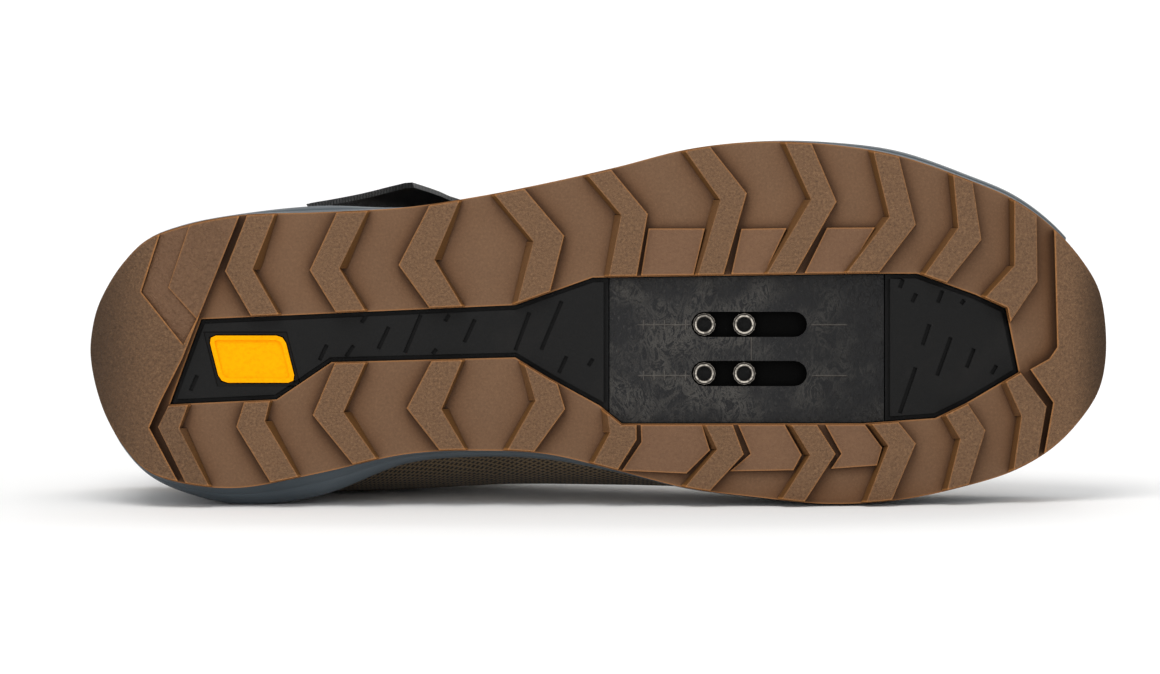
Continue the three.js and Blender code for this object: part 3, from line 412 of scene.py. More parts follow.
def steel():
    metal = Finish("darkSteel", steelLook["sheet"], metallic=0.95, roughness=0.4)
    brushed = metal.noise(0.3, 3, 0.7)
    far = 1e3  # from the nearest barrel's middle
    for x in steelLook["barrelX"]:
        for y in steelLook["barrelY"]:
            far = (((metal.x - x) ** 2.0 + (metal.y - y) ** 2.0) ** 0.5).under(far)
    face = metal.under.ease(0.8, 0.95) * (1 - metal.z.ease(6.9, 7.3))  # the end faces of the barrels
    notch = 0.35 + 0.65 * metal.noise(1.1, 2, 0.6).ease(0.38, 0.6)
    inner, outer = steelLook["rims"]
    # painted highlight: a thin bright ring round each bore on the barrel ends, broken up by the notch noise
    rim = (far - inner).peak(0.08, 0.34) * notch + (far - outer).peak(0.02, 0.14) * 0.35
    metal.tint(steelLook["face"], face)
    metal.tint(steelLook["rim"], face * rim)
    metal.tint(steelLook["brushed"], (brushed - 0.45) * 1.4)
    # painted shade in the corners
    metal.tint(steelLook["deep"], 1 - metal.opened(4.0).ease(0.3, 0.85))
    return metal.done(brushed, 0.06, roughness=0.34 + 0.3 * brushed)


inlayLook = dict(base="ffab00", deep="f09700")


def inlay():
    yellow = Finish("inlayPlastic", inlayLook["base"], roughness=0.5, specular=0.03)
    grain = yellow.noise(0.8, 3)
    yellow.tint(inlayLook["deep"], grain.ease(0.4, 0.75) * 0.6)
    return yellow.done(grain, 0.05, roughness=0.45 + 0.2 * grain)


def slimmed(thing, angle):  # planar faces joined, so that edges shade cleanly
    flat = thing.modifiers.new("facets", "DECIMATE")
    flat.decimate_type = "DISSOLVE"
    flat.angle_limit = math.radians(angle)
    return thing


def rounded(thing, width, angle):  # width in millimetres
    edges = thing.modifiers.new("edges", "BEVEL")
    edges.width = width * mm
    edges.segments = 2
    edges.limit_method = "ANGLE"
    edges.angle_limit = math.radians(angle)
    edges.use_clamp_overlap = True
    return thing


def dress(name, material, bevel):
    nodes[name].data.materials[0] = material
    rounded(slimmed(nodes[name], 3), bevel, 28)


# Shape of the last, as in the part: widths as shares of the ball width, heights of the instep height
lastColumns = ("along", "footLateral", "footMedial", "wideLateral", "wideMedial", "rise", "top", "square")
lastRows = np.array([
    (0.017, 0.0, 0.11, -0.02, 0.125, 0.12, 1.23, 3), (0.024, -0.09, 0.195, -0.112, 0.218, 0.13, 1.23, 3),
    (0.04, -0.165, 0.275, -0.195, 0.3, 0.15, 1.23, 3), (0.066, -0.225, 0.34, -0.25, 0.37, 0.17, 1.23, 3.1),
    (0.108, -0.268, 0.392, -0.292, 0.415, 0.19, 1.23, 3.3),
    (0.17, -0.287, 0.41, -0.309, 0.438, 0.21, 1.22, 3.4),
    (0.24, -0.293, 0.395, -0.319, 0.455, 0.22, 1.18, 3.1),
    (0.32, -0.303, 0.358, -0.339, 0.447, 0.21, 1.08, 2.5),
    (0.41, -0.34, 0.345, -0.375, 0.434, 0.2, 0.94, 2.2),
    (0.51, -0.405, 0.375, -0.43, 0.435, 0.18, 0.808, 2.1),
    (0.61, -0.462, 0.418, -0.48, 0.441, 0.15, 0.69, 2.1),
    (0.7, -0.488, 0.438, -0.5, 0.452, 0.12, 0.603, 2.25),
    (0.785, -0.46, 0.426, -0.472, 0.437, 0.1, 0.545, 2.4),
    (0.855, -0.398, 0.402, -0.41, 0.412, 0.09, 0.502, 2.5),
    (0.91, -0.316, 0.345, -0.327, 0.355, 0.08, 0.464, 2.5),
    (0.948, -0.226, 0.274, -0.235, 0.283, 0.07, 0.425, 2.5),
    (0.97, -0.14, 0.205, -0.147, 0.212, 0.055, 0.385, 2.4),
    (0.979, -0.06, 0.14, -0.066, 0.147, 0.04, 0.345, 2.2),
])
body = dict(heelStack=25, ballStack=17, heelLift=2.5, tuck=4.2, tuckHeight=46, tuckSpan=42, tuckReach=95,
            rowSteps=5, ringPoints=84,
            # creases across the vamp: place, lean across the shoe, depth and width, in millimetres
            creases=((196, 0.22, 0.75, 3.6), (207, 0.12, 0.55, 3.2), (185, 0.3, 0.45, 3.4),
                     (100, -0.1, 0.4, 5.0)))


def smoothstep(x, low, high):
    t = min(1.0, max(0.0, (x - low) / (high - low)))
    return t * t * (3 - 2 * t)


def footbedAt(x):
    forward = smoothstep(x, shoe["length"] * 0.28, shoe["length"] * 0.7)
    bed = body["heelStack"] + (body["ballStack"] - body["heelStack"]) * forward
    return bed + springAt(x) + heelLiftAt(x, body["heelLift"])


def cubic(start, end, into, out, t):
    ahead = end - start
    return start + into * t + (3 * ahead - 2 * into - out) * t ** 2 + (into + out - 2 * ahead) * t ** 3


def hermite(rows, t):  # a smooth row between the rows of a table
    i = min(int(t), len(rows) - 2)
    a, b, c, d = (rows[min(max(k, 0), len(rows) - 1)] for k in (i - 1, i, i + 1, i + 2))
    return cubic(b, c, (c - a) / 2, (d - b) / 2, t - i)


denseT = np.linspace(0, len(lastRows) - 1, 400)
denseX = np.array([hermite(lastRows, t)[0] for t in denseT]) * shoe["length"]


def rowAt(x):
    return dict(zip(lastColumns, hermite(lastRows, float(np.interp(x, denseX, denseT)))))


def tucked(x, y, z):
    lean = np.minimum(((z - body["tuckHeight"]) / body["tuckSpan"]) ** 2, 1.4)
    back = body["tuck"] * lean * max(0, 1 - float(np.mean(x)) / body["tuckReach"])
    return np.stack([x + back, y, z], axis=-1)


def creased(x, angle):  # how far the cloth dips at a place
    dip = 0.0
    for place, lean, depth, width in body["creases"]:
        across = np.cos(angle) * 45
        fade = np.clip(np.sin(angle), 0, 1) ** 1.5
        off = x - place - lean * across - 2 * np.sin(across / 9)
        dip = dip + depth * fade * np.exp(-(off / width) ** 2)
    return dip


def sectionOf(row, offset):  # place, widest height, crown, middle and half width of one section
    spread = 2 * (row["along"] - lastRows[0][0]) / (lastRows[-1][0] - lastRows[0][0]) - 1
    x = row["along"] * shoe["length"] + offset * spread
    wide = footbedAt(x) + row["rise"] * shoe["instepHeight"]
    crown = max(row["top"] * shoe["instepHeight"] + offset - wide, 1)
    middle = shoe["ballWidth"] * (row["wideLateral"] + row["wideMedial"]) / 2
    half = shoe["ballWidth"] * (row["wideMedial"] - row["wideLateral"]) / 2 + offset
    return x, wide, crown, middle, half


def ringOf(row, offset, drop, arc=36):
    x, wide, crown, middle, half = sectionOf(row, offset)
    half = max(half, 0.6)
    bed = footbedAt(x)
    angle = np.linspace(0, math.pi, arc + 1)
    dip = creased(x, angle)
    over, up = np.cos(angle), np.clip(np.sin(angle), 0, 1)
    y = middle + (half - dip) * np.sign(over) * np.abs(over) ** (2 / row["square"])
    z = wide + (crown - dip) * up ** (2 / row["square"])
    ends = []
    for side, sign in (("Medial", 1), ("Lateral", -1)):
        foot = row["foot" + side] * shoe["ballWidth"] + sign * offset
        foot = sign * max(sign * foot, sign * middle + 0.5)
        broad = row["wide" + side] * shoe["ballWidth"] + sign * offset
        bulge = (foot + (broad - foot) * 0.62, bed + (wide - bed) * 0.4)
        ends.append([(foot, bed - drop), (foot, bed), bulge])
    line = np.array(ends[0] + list(zip(y, z)) + ends[1][::-1])
    for _ in range(2):  # round the corners
        here, ahead = line[:-1], line[1:]
        mids = np.concatenate([here * 0.75 + ahead * 0.25, here * 0.25 + ahead * 0.75], axis=1)
        line = np.concatenate([line[:1], mids.reshape(-1, 2), line[-1:]])
    reach = np.concatenate([[0], np.cumsum(np.hypot(*np.diff(line, axis=0).T))])
    at = np.linspace(0, reach[-1], body["ringPoints"])
    y, z = np.interp(at, reach, line[:, 0]), np.interp(at, reach, line[:, 1])
    return tucked(np.full_like(y, x), y, z)


denseRows = [dict(zip(lastColumns, hermite(lastRows, t)))
             for t in np.linspace(0, len(lastRows) - 1, (len(lastRows) - 1) * body["rowSteps"] + 1)]


def gridOf(offset, drop):  # rings of the last at one size
    return np.array([ringOf(row, offset, drop) for row in denseRows])


# Meshes

def meshOf(name, points, faces, upright=True):
    mesh = bpy.data.meshes.new(name)
    points = toRow(points) if upright else points
    mesh.from_pydata([tuple(p) for p in points], [], [tuple(f) for f in faces])
    made = bmesh.new()
    made.from_mesh(mesh)
    bmesh.ops.recalc_face_normals(made, faces=made.faces)
    made.to_mesh(mesh)
    made.free()
    thing = bpy.data.objects.new(name, mesh)
    bpy.context.collection.objects.link(thing)
    return thing


def loftOf(name, rings, closed=False):  # closed: the last ring joins the first
    count, total = len(rings[0]), len(rings)
    faces = [(i * count + j, i * count + (j + 1) % count,
              (i + 1) % total * count + (j + 1) % count, (i + 1) % total * count + j)
             for i in range(total if closed else total - 1) for j in range(count)]
    if not closed:
        faces += [tuple(range(count))[::-1], tuple(range((total - 1) * count, total * count))]
    return meshOf(name, np.concatenate(rings), faces)


def quadsOf(rows, wide):  # faces of a grid of points
    return [(i * wide + j, i * wide + j + 1, (i + 1) * wide + j + 1, (i + 1) * wide + j)
            for i in range(rows - 1) for j in range(wide - 1)]


def thickSheet(name, low, high, wide):  # two grids of points, joined round their rim
    count, rows = len(low), len(low) // wide
    quads = quadsOf(rows, wide)
    rim = list(range(wide)) + [i * wide + wide - 1 for i in range(1, rows)]
    rim += [count - 1 - j for j in range(1, wide)] + [i * wide for i in range(rows - 2, 0, -1)]
    faces = quads + [tuple(count + k for k in reversed(q)) for q in quads]
    faces += [(a, b, b + count, a + count) for a, b in zip(rim, rim[1:] + rim[:1])]
    return meshOf(name, low + high, faces)


def lastSolid(name, offset, drop):
    return loftOf(name, list(gridOf(offset, drop)))


def prism(name, corners, low, high, plane="xy"):  # an outline drawn from below, or from the side
    corners = np.asarray(corners, dtype=float)
    flat = [np.column_stack([corners, np.full(len(corners), z)]) for z in (low, high)]
    if plane == "xz":
        flat = [ring[:, [0, 2, 1]] for ring in flat]
    return loftOf(name, flat)


def layerSolid(name, lowAt, highAt):
    wide = shoe["ballWidth"]
    return loftOf(name, [np.array([(x, -wide, lowAt(x)), (x, wide, lowAt(x)), (x, wide, highAt(x)),
                                   (x, -wide, highAt(x))]) for x in np.linspace(-15, 310, 130)])


def carve(name, base, steps):  # joins, cuts and overlaps one after the other, into a new object
    for i, (kind, tool) in enumerate(steps):
        step = base.modifiers.new("step%d" % i, "BOOLEAN")
        step.operation = kind
        step.object = tool
        step.solver = "MANIFOLD"
    bpy.context.view_layer.update()
    mesh = bpy.data.meshes.new_from_object(base.evaluated_get(bpy.context.evaluated_depsgraph_get()))
    mesh.name = name
    thing = bpy.data.objects.new(name, mesh)
    bpy.context.collection.objects.link(thing)
    return thing


def reachOf(points):  # distance along a line to each of its points
    return np.concatenate([[0], np.cumsum(np.linalg.norm(np.diff(points, axis=0), axis=1))])


def spreadAt(at, reach, values):  # values between the points of a line, by distance
    return np.stack([np.interp(at, reach, column) for column in values.T], axis=1)


def discard(*things):
    for thing in things:
        bpy.data.objects.remove(thing, do_unlink=True)


def softEdges(thing, angle, bevel=0.0):
    for polygon in thing.data.polygons:
        polygon.use_smooth = True
    if bevel:
        rounded(thing, bevel, angle)
    sharp = thing.modifiers.new("normals", "WEIGHTED_NORMAL")
    sharp.keep_sharp = True
    thing.data.set_sharp_from_angle(angle=math.radians(angle + 12))
    return thing


def finished(thing, material, slot, *stands):
    for vertex in thing.data.vertices:  # what lies on the floor is flat there
        vertex.co.z = max(vertex.co.z, 0.0001)
    thing.data.materials.clear()
    thing.data.materials.append(material)
    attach(thing, "root")
    if stands:
        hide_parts(*stands)
    return thing


def clad(thing, angle, bevel, material, slot, *stands):
    return finished(measured(softEdges(thing, angle, bevel)), material, slot, *stands)


# Openings of the upper
opening = dict(collarBack=92, collarDip=74, throatBack=97, throatFront=190, throatDrift=6, throatWidth=32,
               throatRows=((0, 0.5), (0.3, 0.44), (0.6, 0.38), (0.85, 0.33), (0.96, 0.22), (1, 0.08)),
               outlineAt=(0, 0.15, 0.3, 0.45, 0.6, 0.72, 0.85, 0.92, 0.96, 1),
               eyestay=13, eyeletInset=6.5, eyeletBore=4.4, laces=(135, 147, 159, 171, 182))


def splined(corners, steps=10, closed=False):
    corners = np.asarray(corners, dtype=float)
    if closed:
        corners = np.concatenate([corners[-1:], corners, corners[:2]])
        rows = [hermite(corners, 1 + i / steps) for i in range((len(corners) - 3) * steps)]
        return np.array(rows)
    return np.array([hermite(corners, i / steps) for i in range((len(corners) - 1) * steps + 1)])


def collarLine():
    back, dip, throat = opening["collarBack"], opening["collarDip"], opening["throatBack"]
    return splined([(-20, back), (5, back), (17, back - 3), (34, dip + 5), (54, dip), (72, dip + 5),
                    (86, dip + 20), (throat, dip + 45), (throat + 2, shoe["instepHeight"] * 1.3)], 8)


throatLength = opening["throatFront"] - opening["throatBack"]


def throatMiddle(x):
    return opening["throatDrift"] * (opening["throatFront"] - x) / throatLength


def throatHalf(x):
    places, halves = zip(*opening["throatRows"])
    down = (x - opening["throatBack"]) / throatLength
    return opening["throatWidth"] * float(np.interp(down, places, halves))


def throatOutline(spare, back):
    places = [back] + [opening["throatBack"] + throatLength * down for down in opening["outlineAt"]]
    half = [throatHalf(x) + spare for x in places]
    medial = [(x, throatMiddle(x) + h) for x, h in zip(places, half)]
    lateral = [(x, throatMiddle(x) - h) for x, h in zip(places, half)][::-1]
    beyond, tip = places[-1] + spare * 0.25, opening["throatFront"] + spare * 0.8
    end = [(beyond, medial[-1][1] - 0.4 * spare), (tip, throatHalf(tip) + spare * 0.3), (tip, -spare * 0.3),
           (beyond, lateral[0][1] + 0.4 * spare)]
    return medial[:-1] + end + lateral[1:]


def disc(x, y, width, sides=20):
    turns = np.linspace(0, 2 * math.pi, sides, endpoint=False)
    return np.column_stack([x + np.cos(turns) * width / 2, y + np.sin(turns) * width / 2])


def eyeletPlaces():
    return [[(x, throatMiddle(x) + side * (throatHalf(x) + opening["eyeletInset"])) for side in (1, -1)]
            for x in opening["laces"]]


waist = shoe["instepHeight"] * 0.45
roof = shoe["instepHeight"] * 2
collarTool = prism("collarTool", np.vstack([collarLine(), [(-20, roof)]]), -110, 110, "xz")
throatTool = prism("throatTool", throatOutline(0, opening["throatBack"] - 25), waist, roof)
eyeletTools = [prism("eyeletTool", disc(x, y, opening["eyeletBore"]), waist, roof)
               for pair in eyeletPlaces() for x, y in pair]
aboveBed = layerSolid("aboveBed", lambda x: footbedAt(x) + shoe["clearance"], lambda x: roof)


def shellOf(name, inner, outer, steps):
    outside, inside = lastSolid("outside", outer, 6), lastSolid("inside", inner, 14)
    hollow = [("DIFFERENCE", inside), ("INTERSECT", aboveBed), ("DIFFERENCE", collarTool)]
    made = carve(name, outside, hollow + steps)
    discard(outside, inside)
    return made


# Finishes of the upper. Girth is the way round the last, worked out from the nearest point of its surface.
surface = gridOf(0, 0)
surfaceGirth = np.cumsum(np.concatenate([np.zeros((len(surface), 1)),
                                         np.linalg.norm(np.diff(surface, axis=1), axis=2)], axis=1), axis=1)
surfaceGirth -= surfaceGirth[:, -1:] / 2
ringFaces = quadsOf(len(surface), body["ringPoints"])
surfaceMesh = BVHTree.FromPolygons([Vector(p) for p in surface.reshape(-1, 3)], ringFaces)


def measured(thing):  # girth at each point, for the weave
    points = fromRow(np.array([v.co for v in thing.data.vertices]))
    girth = np.zeros(len(points))
    for i, point in enumerate(points):
        near, _, face, _ = surfaceMesh.find_nearest(Vector(point))
        row, column = divmod(face, body["ringPoints"] - 1)
        corner = surface[row, column]
        shares = []
        for other in (surface[row, column + 1], surface[row + 1, column]):
            run = other - corner
            share = float(np.dot(np.array(near) - corner, run) / max(np.dot(run, run), 1e-9))
            shares.append(min(1.0, max(0.0, share)))
        across, along = shares
        here, ahead = (surfaceGirth[k, column] * (1 - across) + surfaceGirth[k, column + 1] * across
                       for k in (row, row + 1))
        girth[i] = here * (1 - along) + ahead * along
    layer = thing.data.attributes.new("girth", "FLOAT", "POINT")
    layer.data.foreach_set("value", girth.astype(np.float32))
    return thing


heelTurn = dict(x=60, y=6, radius=46)  # behind this place the threads run round the heel


def alongCloth(finish):  # millimetres along the side of the shoe and round its heel
    across = abs(finish.y - heelTurn["y"])
    behind = (heelTurn["x"] - finish.x).over(0.0)
    ahead = (finish.x - heelTurn["x"]).over(0.0)
    turned = across.maths("ARCTAN2", across, behind)
    return heelTurn["x"] + ahead - (math.pi / 2 - turned) * heelTurn["radius"]


weaveLook = dict(thread="7a6547", dark="070503", warm="a08252", period=2.5, drift=0.2, deep=0.16)


def woven():
    cloth = Finish("upperWeave", weaveLook["dark"], roughness=0.85, specular=0.15, sheen=0.1,
                   sheenRoughness=0.5)
    around = cloth.girth() / weaveLook["period"]
    run = alongCloth(cloth) / weaveLook["period"] + (cloth.noise(9, 2) - 0.5) * weaveLook["drift"]
    lean, cross = (around + run).wave(), (around - run).wave() * 0.85
    strand = lean.over(cross)
    gap = (lean - cross).peak(0.0, 0.22)  # dark where one thread dips under the other
    fibre = cloth.noise(0.28, 3, 0.7)
    height = strand.ease(0.35, 1.0) * (1 - gap * 0.55) + fibre * 0.25
    cloth.tint(weaveLook["thread"], height.ease(0.3, 0.85))
    cloth.tint(weaveLook["warm"], (fibre - 0.5) * strand * 1.6)
    cloth.tint(weaveLook["dark"], (cloth.noise(34, 3) - 0.45) * 0.9)
    return cloth.done(height, weaveLook["deep"], roughness=0.78 + 0.17 * fibre)


def knitted(name, base, light, size, deep):
    knit = Finish(name, base, roughness=0.9, specular=0.12, sheen=0.35, sheenRoughness=0.5)
    wales = abs(((knit.girth() / size) % 1.0) - 0.5) * 2
    loops = (alongCloth(knit) / (size * 0.62) + wales * 0.7).wave()
    fibre = knit.noise(0.3, 3, 0.7)
    height = loops * (0.35 + 0.65 * (1 - wales)) + 0.3 * fibre
    knit.tint(light, height.ease(0.25, 1.0))
    knit.tint(base, (knit.noise(20, 2) - 0.4) * 0.8)
    return knit.done(height, deep, roughness=0.82 + 0.15 * fibre)


filmLook = dict(base="363e43", light="434c51", grain="2c353a", dots=1.15)


def film():  # thin smooth overlay pressed on the cloth
    skin = Finish("overlayFilm", filmLook["base"], roughness=0.5, specular=0.4)
    grain = skin.noise(0.55, 3, 0.65)
    spread = skin.node("CombineXYZ", {}, {"X": skin.x, "Y": skin.girth()})
    skin.tint(filmLook["light"], (skin.noise(26, 3) - 0.35) * 1.1)
    skin.tint(filmLook["grain"], (grain - 0.45) * 0.8)
    height = skin.cells(filmLook["dots"], spread, 0.35) * 0.7 + grain * 0.5
    return skin.done(height, 0.07, roughness=0.42 + 0.2 * grain)


shellCut = dict(cloth=(-1.1, 0), lining=(-2.3, -1.14))
filmFinish = film()
throatCuts = [("DIFFERENCE", tool) for tool in [throatTool] + eyeletTools]
cloth = clad(shellOf("upper_cloth", *shellCut["cloth"], throatCuts), 40, 0, woven(), "weave", "upper")
liningFinish = knitted("liningMesh", "2b2b2c", "4b4a48", 1.5, 0.14)
lining = shellOf("upper_lining", *shellCut["lining"], throatCuts)
clad(lining, 40, 0, liningFinish, "weave", "upper")
print("upper", len(cloth.data.polygons), len(lining.data.polygons))


# Overlays
overlay = dict(low=0.3, high=1.7, past=(-20, 319), reach=110,
               counter=((76, 12), (73, 24), (65.3, 37), (49.3, 51), (26.1, 59), (0, 65), (-20, 65)),
               cap=((185.6, 6), (200.1, 24), (226.2, 30), (249.4, 38), (265.4, 49), (272.6, 77)))


def overlayPiece(name, node, tools, bevel):
    steps = [("INTERSECT", tools[0])] + [("DIFFERENCE", tool) for tool in tools[1:]]
    made = shellOf(name, overlay["low"], overlay["high"], steps)
    discard(tools[0])
    return clad(made, 40, bevel, filmFinish, "film", node)


back, front = overlay["past"]
counterLine = np.vstack([[(back, 0), (overlay["counter"][0][0], 0)], splined(overlay["counter"], 8)])
counterTool = prism("counterTool", counterLine, -overlay["reach"], overlay["reach"], "xz")
counter = overlayPiece("heel_counter_film", "heel_counter", [counterTool], 0.45)
capLine = np.vstack([splined(overlay["cap"], 8),
                     [(front, overlay["cap"][-1][1]), (front, 0), (overlay["cap"][0][0], 0)]])
capTool = prism("capTool", capLine, -overlay["reach"], overlay["reach"], "xz")
toeCap = overlayPiece("toe_cap_film", "toe_cap", [capTool], 0.45)
stayTool = prism("stayTool", throatOutline(opening["eyestay"], opening["throatBack"] - 25), waist, roof)
stay = overlayPiece("eyestay_film", "eyestay", [stayTool, throatTool] + eyeletTools, 0.4)
print("overlays", len(counter.data.polygons), len(toeCap.data.polygons), len(stay.data.polygons))


# Outlines of the sole, as shares of length and ball width
soleRows = np.array([  # along, rubber's outer and inner side, foam's outer and inner side
    (-0.002, 0.03, 0.08, 0.03, 0.08), (0.0035, -0.05, 0.16, -0.052, 0.165),
    (0.014, -0.115, 0.241, -0.118, 0.247), (0.031, -0.185, 0.32, -0.188, 0.332),
    (0.055, -0.249, 0.389, -0.253, 0.402), (0.09, -0.287, 0.423, -0.292, 0.451),
    (0.145, -0.317, 0.436, -0.322, 0.485), (0.224, -0.325, 0.396, -0.346, 0.462),
    (0.31, -0.339, 0.343, -0.341, 0.372), (0.379, -0.368, 0.333, -0.37, 0.353),
    (0.448, -0.406, 0.343, -0.408, 0.36), (0.517, -0.45, 0.388, -0.452, 0.395),
    (0.586, -0.499, 0.437, -0.501, 0.44), (0.655, -0.52, 0.462, -0.523, 0.466),
    (0.721, -0.514, 0.48, -0.522, 0.484), (0.793, -0.482, 0.47, -0.498, 0.473),
    (0.862, -0.417, 0.431, -0.433, 0.433), (0.91, -0.359, 0.388, -0.376, 0.39),
    (0.948, -0.282, 0.325, -0.298, 0.326), (0.976, -0.196, 0.245, -0.208, 0.246),
    (0.993, -0.116, 0.17, -0.117, 0.17), (1.0, -0.02, 0.09, -0.02, 0.09),
])
windowCorners = [
    (0.109, -0.03), (0.417, -0.069), (0.493, -0.145), (0.772, -0.156), (0.812, -0.156), (0.869, -0.099),
    (0.9, -0.06), (0.913, 0.117), (0.861, 0.202), (0.83, 0.244), (0.759, 0.258), (0.522, 0.259), (0.5, 0.209),
    (0.45, 0.132), (0.417, 0.076), (0.237, 0.089), (0.183, 0.192), (0.078, 0.206),
]
# Lugs: where each crosses the rim, the fold and the window, on its heel and toe side
lugRows = [
    (-1, 0.155, 0.182, 0.133, 0.16, -0.162, -0.167, 0.159, 0.186),
    (-1, 0.243, 0.273, 0.216, 0.245, -0.165, -0.17, 0.242, 0.271),
    (-1, 0.334, 0.363, 0.303, 0.338, -0.179, -0.194, 0.334, 0.366),
    (-1, 0.396, 0.425, 0.435, 0.465, -0.244, -0.26, 0.419, 0.451),
    (-1, 0.487, 0.51, 0.521, 0.547, -0.317, -0.32, 0.509, 0.536),
    (-1, 0.583, 0.607, 0.618, 0.644, -0.359, -0.377, 0.596, 0.621),
    (-1, 0.681, 0.707, 0.707, 0.732, -0.36, -0.354, 0.663, 0.691),
    (-1, 0.768, 0.793, 0.784, 0.81, -0.312, -0.291, 0.741, 0.773),
    (-1, 0.847, 0.866, 0.852, 0.875, -0.282, -0.25, 0.818, 0.84),
    (-1, 0.908, 0.93, 0.908, 0.931, -0.178, -0.134, 0.878, 0.903),
    (1, 0.095, 0.118, 0.067, 0.088, 0.268, 0.272, 0.078, 0.097),
    (1, 0.178, 0.205, 0.144, 0.172, 0.267, 0.252, 0.152, 0.177),
    (1, 0.259, 0.282, 0.219, 0.249, 0.235, 0.227, 0.241, 0.271),
    (1, 0.344, 0.369, 0.311, 0.345, 0.216, 0.219, 0.336, 0.366),
    (1, 0.409, 0.435, 0.437, 0.466, 0.195, 0.218, 0.426, 0.458),
    (1, 0.493, 0.517, 0.51, 0.536, 0.283, 0.303, 0.507, 0.536),
    (1, 0.583, 0.607, 0.615, 0.641, 0.329, 0.343, 0.603, 0.63),
    (1, 0.678, 0.7, 0.706, 0.731, 0.345, 0.342, 0.687, 0.712),
    (1, 0.761, 0.786, 0.783, 0.81, 0.32, 0.314, 0.766, 0.792),
    (1, 0.841, 0.862, 0.854, 0.879, 0.301, 0.278, 0.839, 0.861),
    (1, 0.907, 0.931, 0.915, 0.94, 0.238, 0.212, 0.899, 0.914),
]
shelfBlocks = [
    [(0.548, -0.28), (0.603, -0.28), (0.591, -0.14), (0.54, -0.14)],
    [(0.639, -0.279), (0.683, -0.281), (0.659, -0.14), (0.628, -0.14)],
    [(0.723, -0.282), (0.77, -0.283), (0.738, -0.14), (0.698, -0.14)],
    [(0.54, 0.25), (0.541, 0.309), (0.522, 0.388), (0.585, 0.396), (0.608, 0.332), (0.599, 0.25)],
    [(0.634, 0.25), (0.648, 0.342), (0.628, 0.39), (0.69, 0.387), (0.698, 0.345), (0.679, 0.25)],
    [(0.719, 0.25), (0.737, 0.342), (0.727, 0.383), (0.772, 0.374), (0.777, 0.325), (0.757, 0.25)],
]
heelPad = [(0.156, -0.4), (0.147, -0.316), (0.106, -0.029), (0.091, 0.078), (0.07, 0.194), (0.058, 0.27),
           (0.089, 0.43), (0.1, 0.5), (-0.05, 0.5), (-0.05, -0.4)]
toePad = [(0.945, -0.4), (0.948, -0.268), (0.951, 0.048), (0.943, 0.08), (0.924, 0.109), (0.947, 0.201),
          (0.938, 0.339), (0.932, 0.5), (1.05, 0.5), (1.05, -0.4)]
heelBand = [(0.075, -0.36), (0.069, -0.267), (0.05, -0.105), (0.092, 0.041), (0.105, -0.03), (0.077, -0.117),
            (0.098, -0.29), (0.106, -0.36)]
heelPlate = [(0.105, -0.36), (0.098, -0.29), (0.077, -0.117), (0.105, -0.03), (0.12, -0.1), (0.147, -0.316),
             (0.15, -0.36)]


def placed(corners):
    return np.array([(along * shoe["length"], across * shoe["ballWidth"]) for along, across in corners])


def curved(corners, steps):  # a smooth closed line through its corners
    corners = np.asarray(corners, dtype=float)
    count, made = len(corners), []
    for i in range(count):
        a, b, c, d = (corners[(i + k) % count] for k in (-1, 0, 1, 2))
        before, here, after = (max(np.linalg.norm(q - p) ** 0.5, 1e-4) for p, q in ((a, b), (b, c), (c, d)))
        into = ((b - a) / before - (c - a) / (before + here) + (c - b) / here) * here
        out = ((c - b) / here - (d - b) / (here + after) + (d - c) / after) * here
        made += [cubic(b, c, into, out, t) for t in np.arange(steps) / steps]
    return np.array(made)


def grown(corners, distance):
    corners = np.asarray(corners, dtype=float)
    before, after = corners - np.roll(corners, 1, axis=0), np.roll(corners, -1, axis=0) - corners
    area = np.sum(corners[:, 0] * np.roll(corners[:, 1], -1) - corners[:, 1] * np.roll(corners[:, 0], -1))
    into = before / np.linalg.norm(before, axis=1)[:, None]
    out = after / np.linalg.norm(after, axis=1)[:, None]
    total = np.stack([into[:, 1] + out[:, 1], -into[:, 0] - out[:, 0]], axis=1)
    total /= np.linalg.norm(total, axis=1)[:, None]
    along = total[:, 0] * out[:, 1] - total[:, 1] * out[:, 0]
    return corners + total * (distance * np.sign(area) / np.maximum(0.3, along))[:, None]


def soleOutline(outer, inner, steps=8):
    lateral = [(row[0], row[outer]) for row in soleRows]
    medial = [(row[0], row[inner]) for row in soleRows][::-1]
    return curved(placed(lateral + medial), steps)


gumOutline = soleOutline(1, 2)
sideOutline = soleOutline(3, 4)
windowOutline = placed(windowCorners)


def edgeAt(outline, x, side):  # how far across the outline reaches
    x = min(max(x, outline[:, 0].min() + 0.1), outline[:, 0].max() - 0.1)
    reached = [side * (ay + (by - ay) * (x - ax) / (bx - ax))
               for (ax, ay), (bx, by) in zip(outline, np.roll(outline, -1, axis=0))
               if ax != bx and 0 <= (x - ax) / (bx - ax) <= 1]
    return side * max(reached)


lugCut = dict(root=4.2, sheet=3.6, rubber=2.6, inset=0.35, steep=0.35, pastRim=1.25, pastSill=1.12,
              heelward=(0.8, 2.5, 0.7, 1.0), toeward=(1.7, 1.5, 2.3, 1.8))


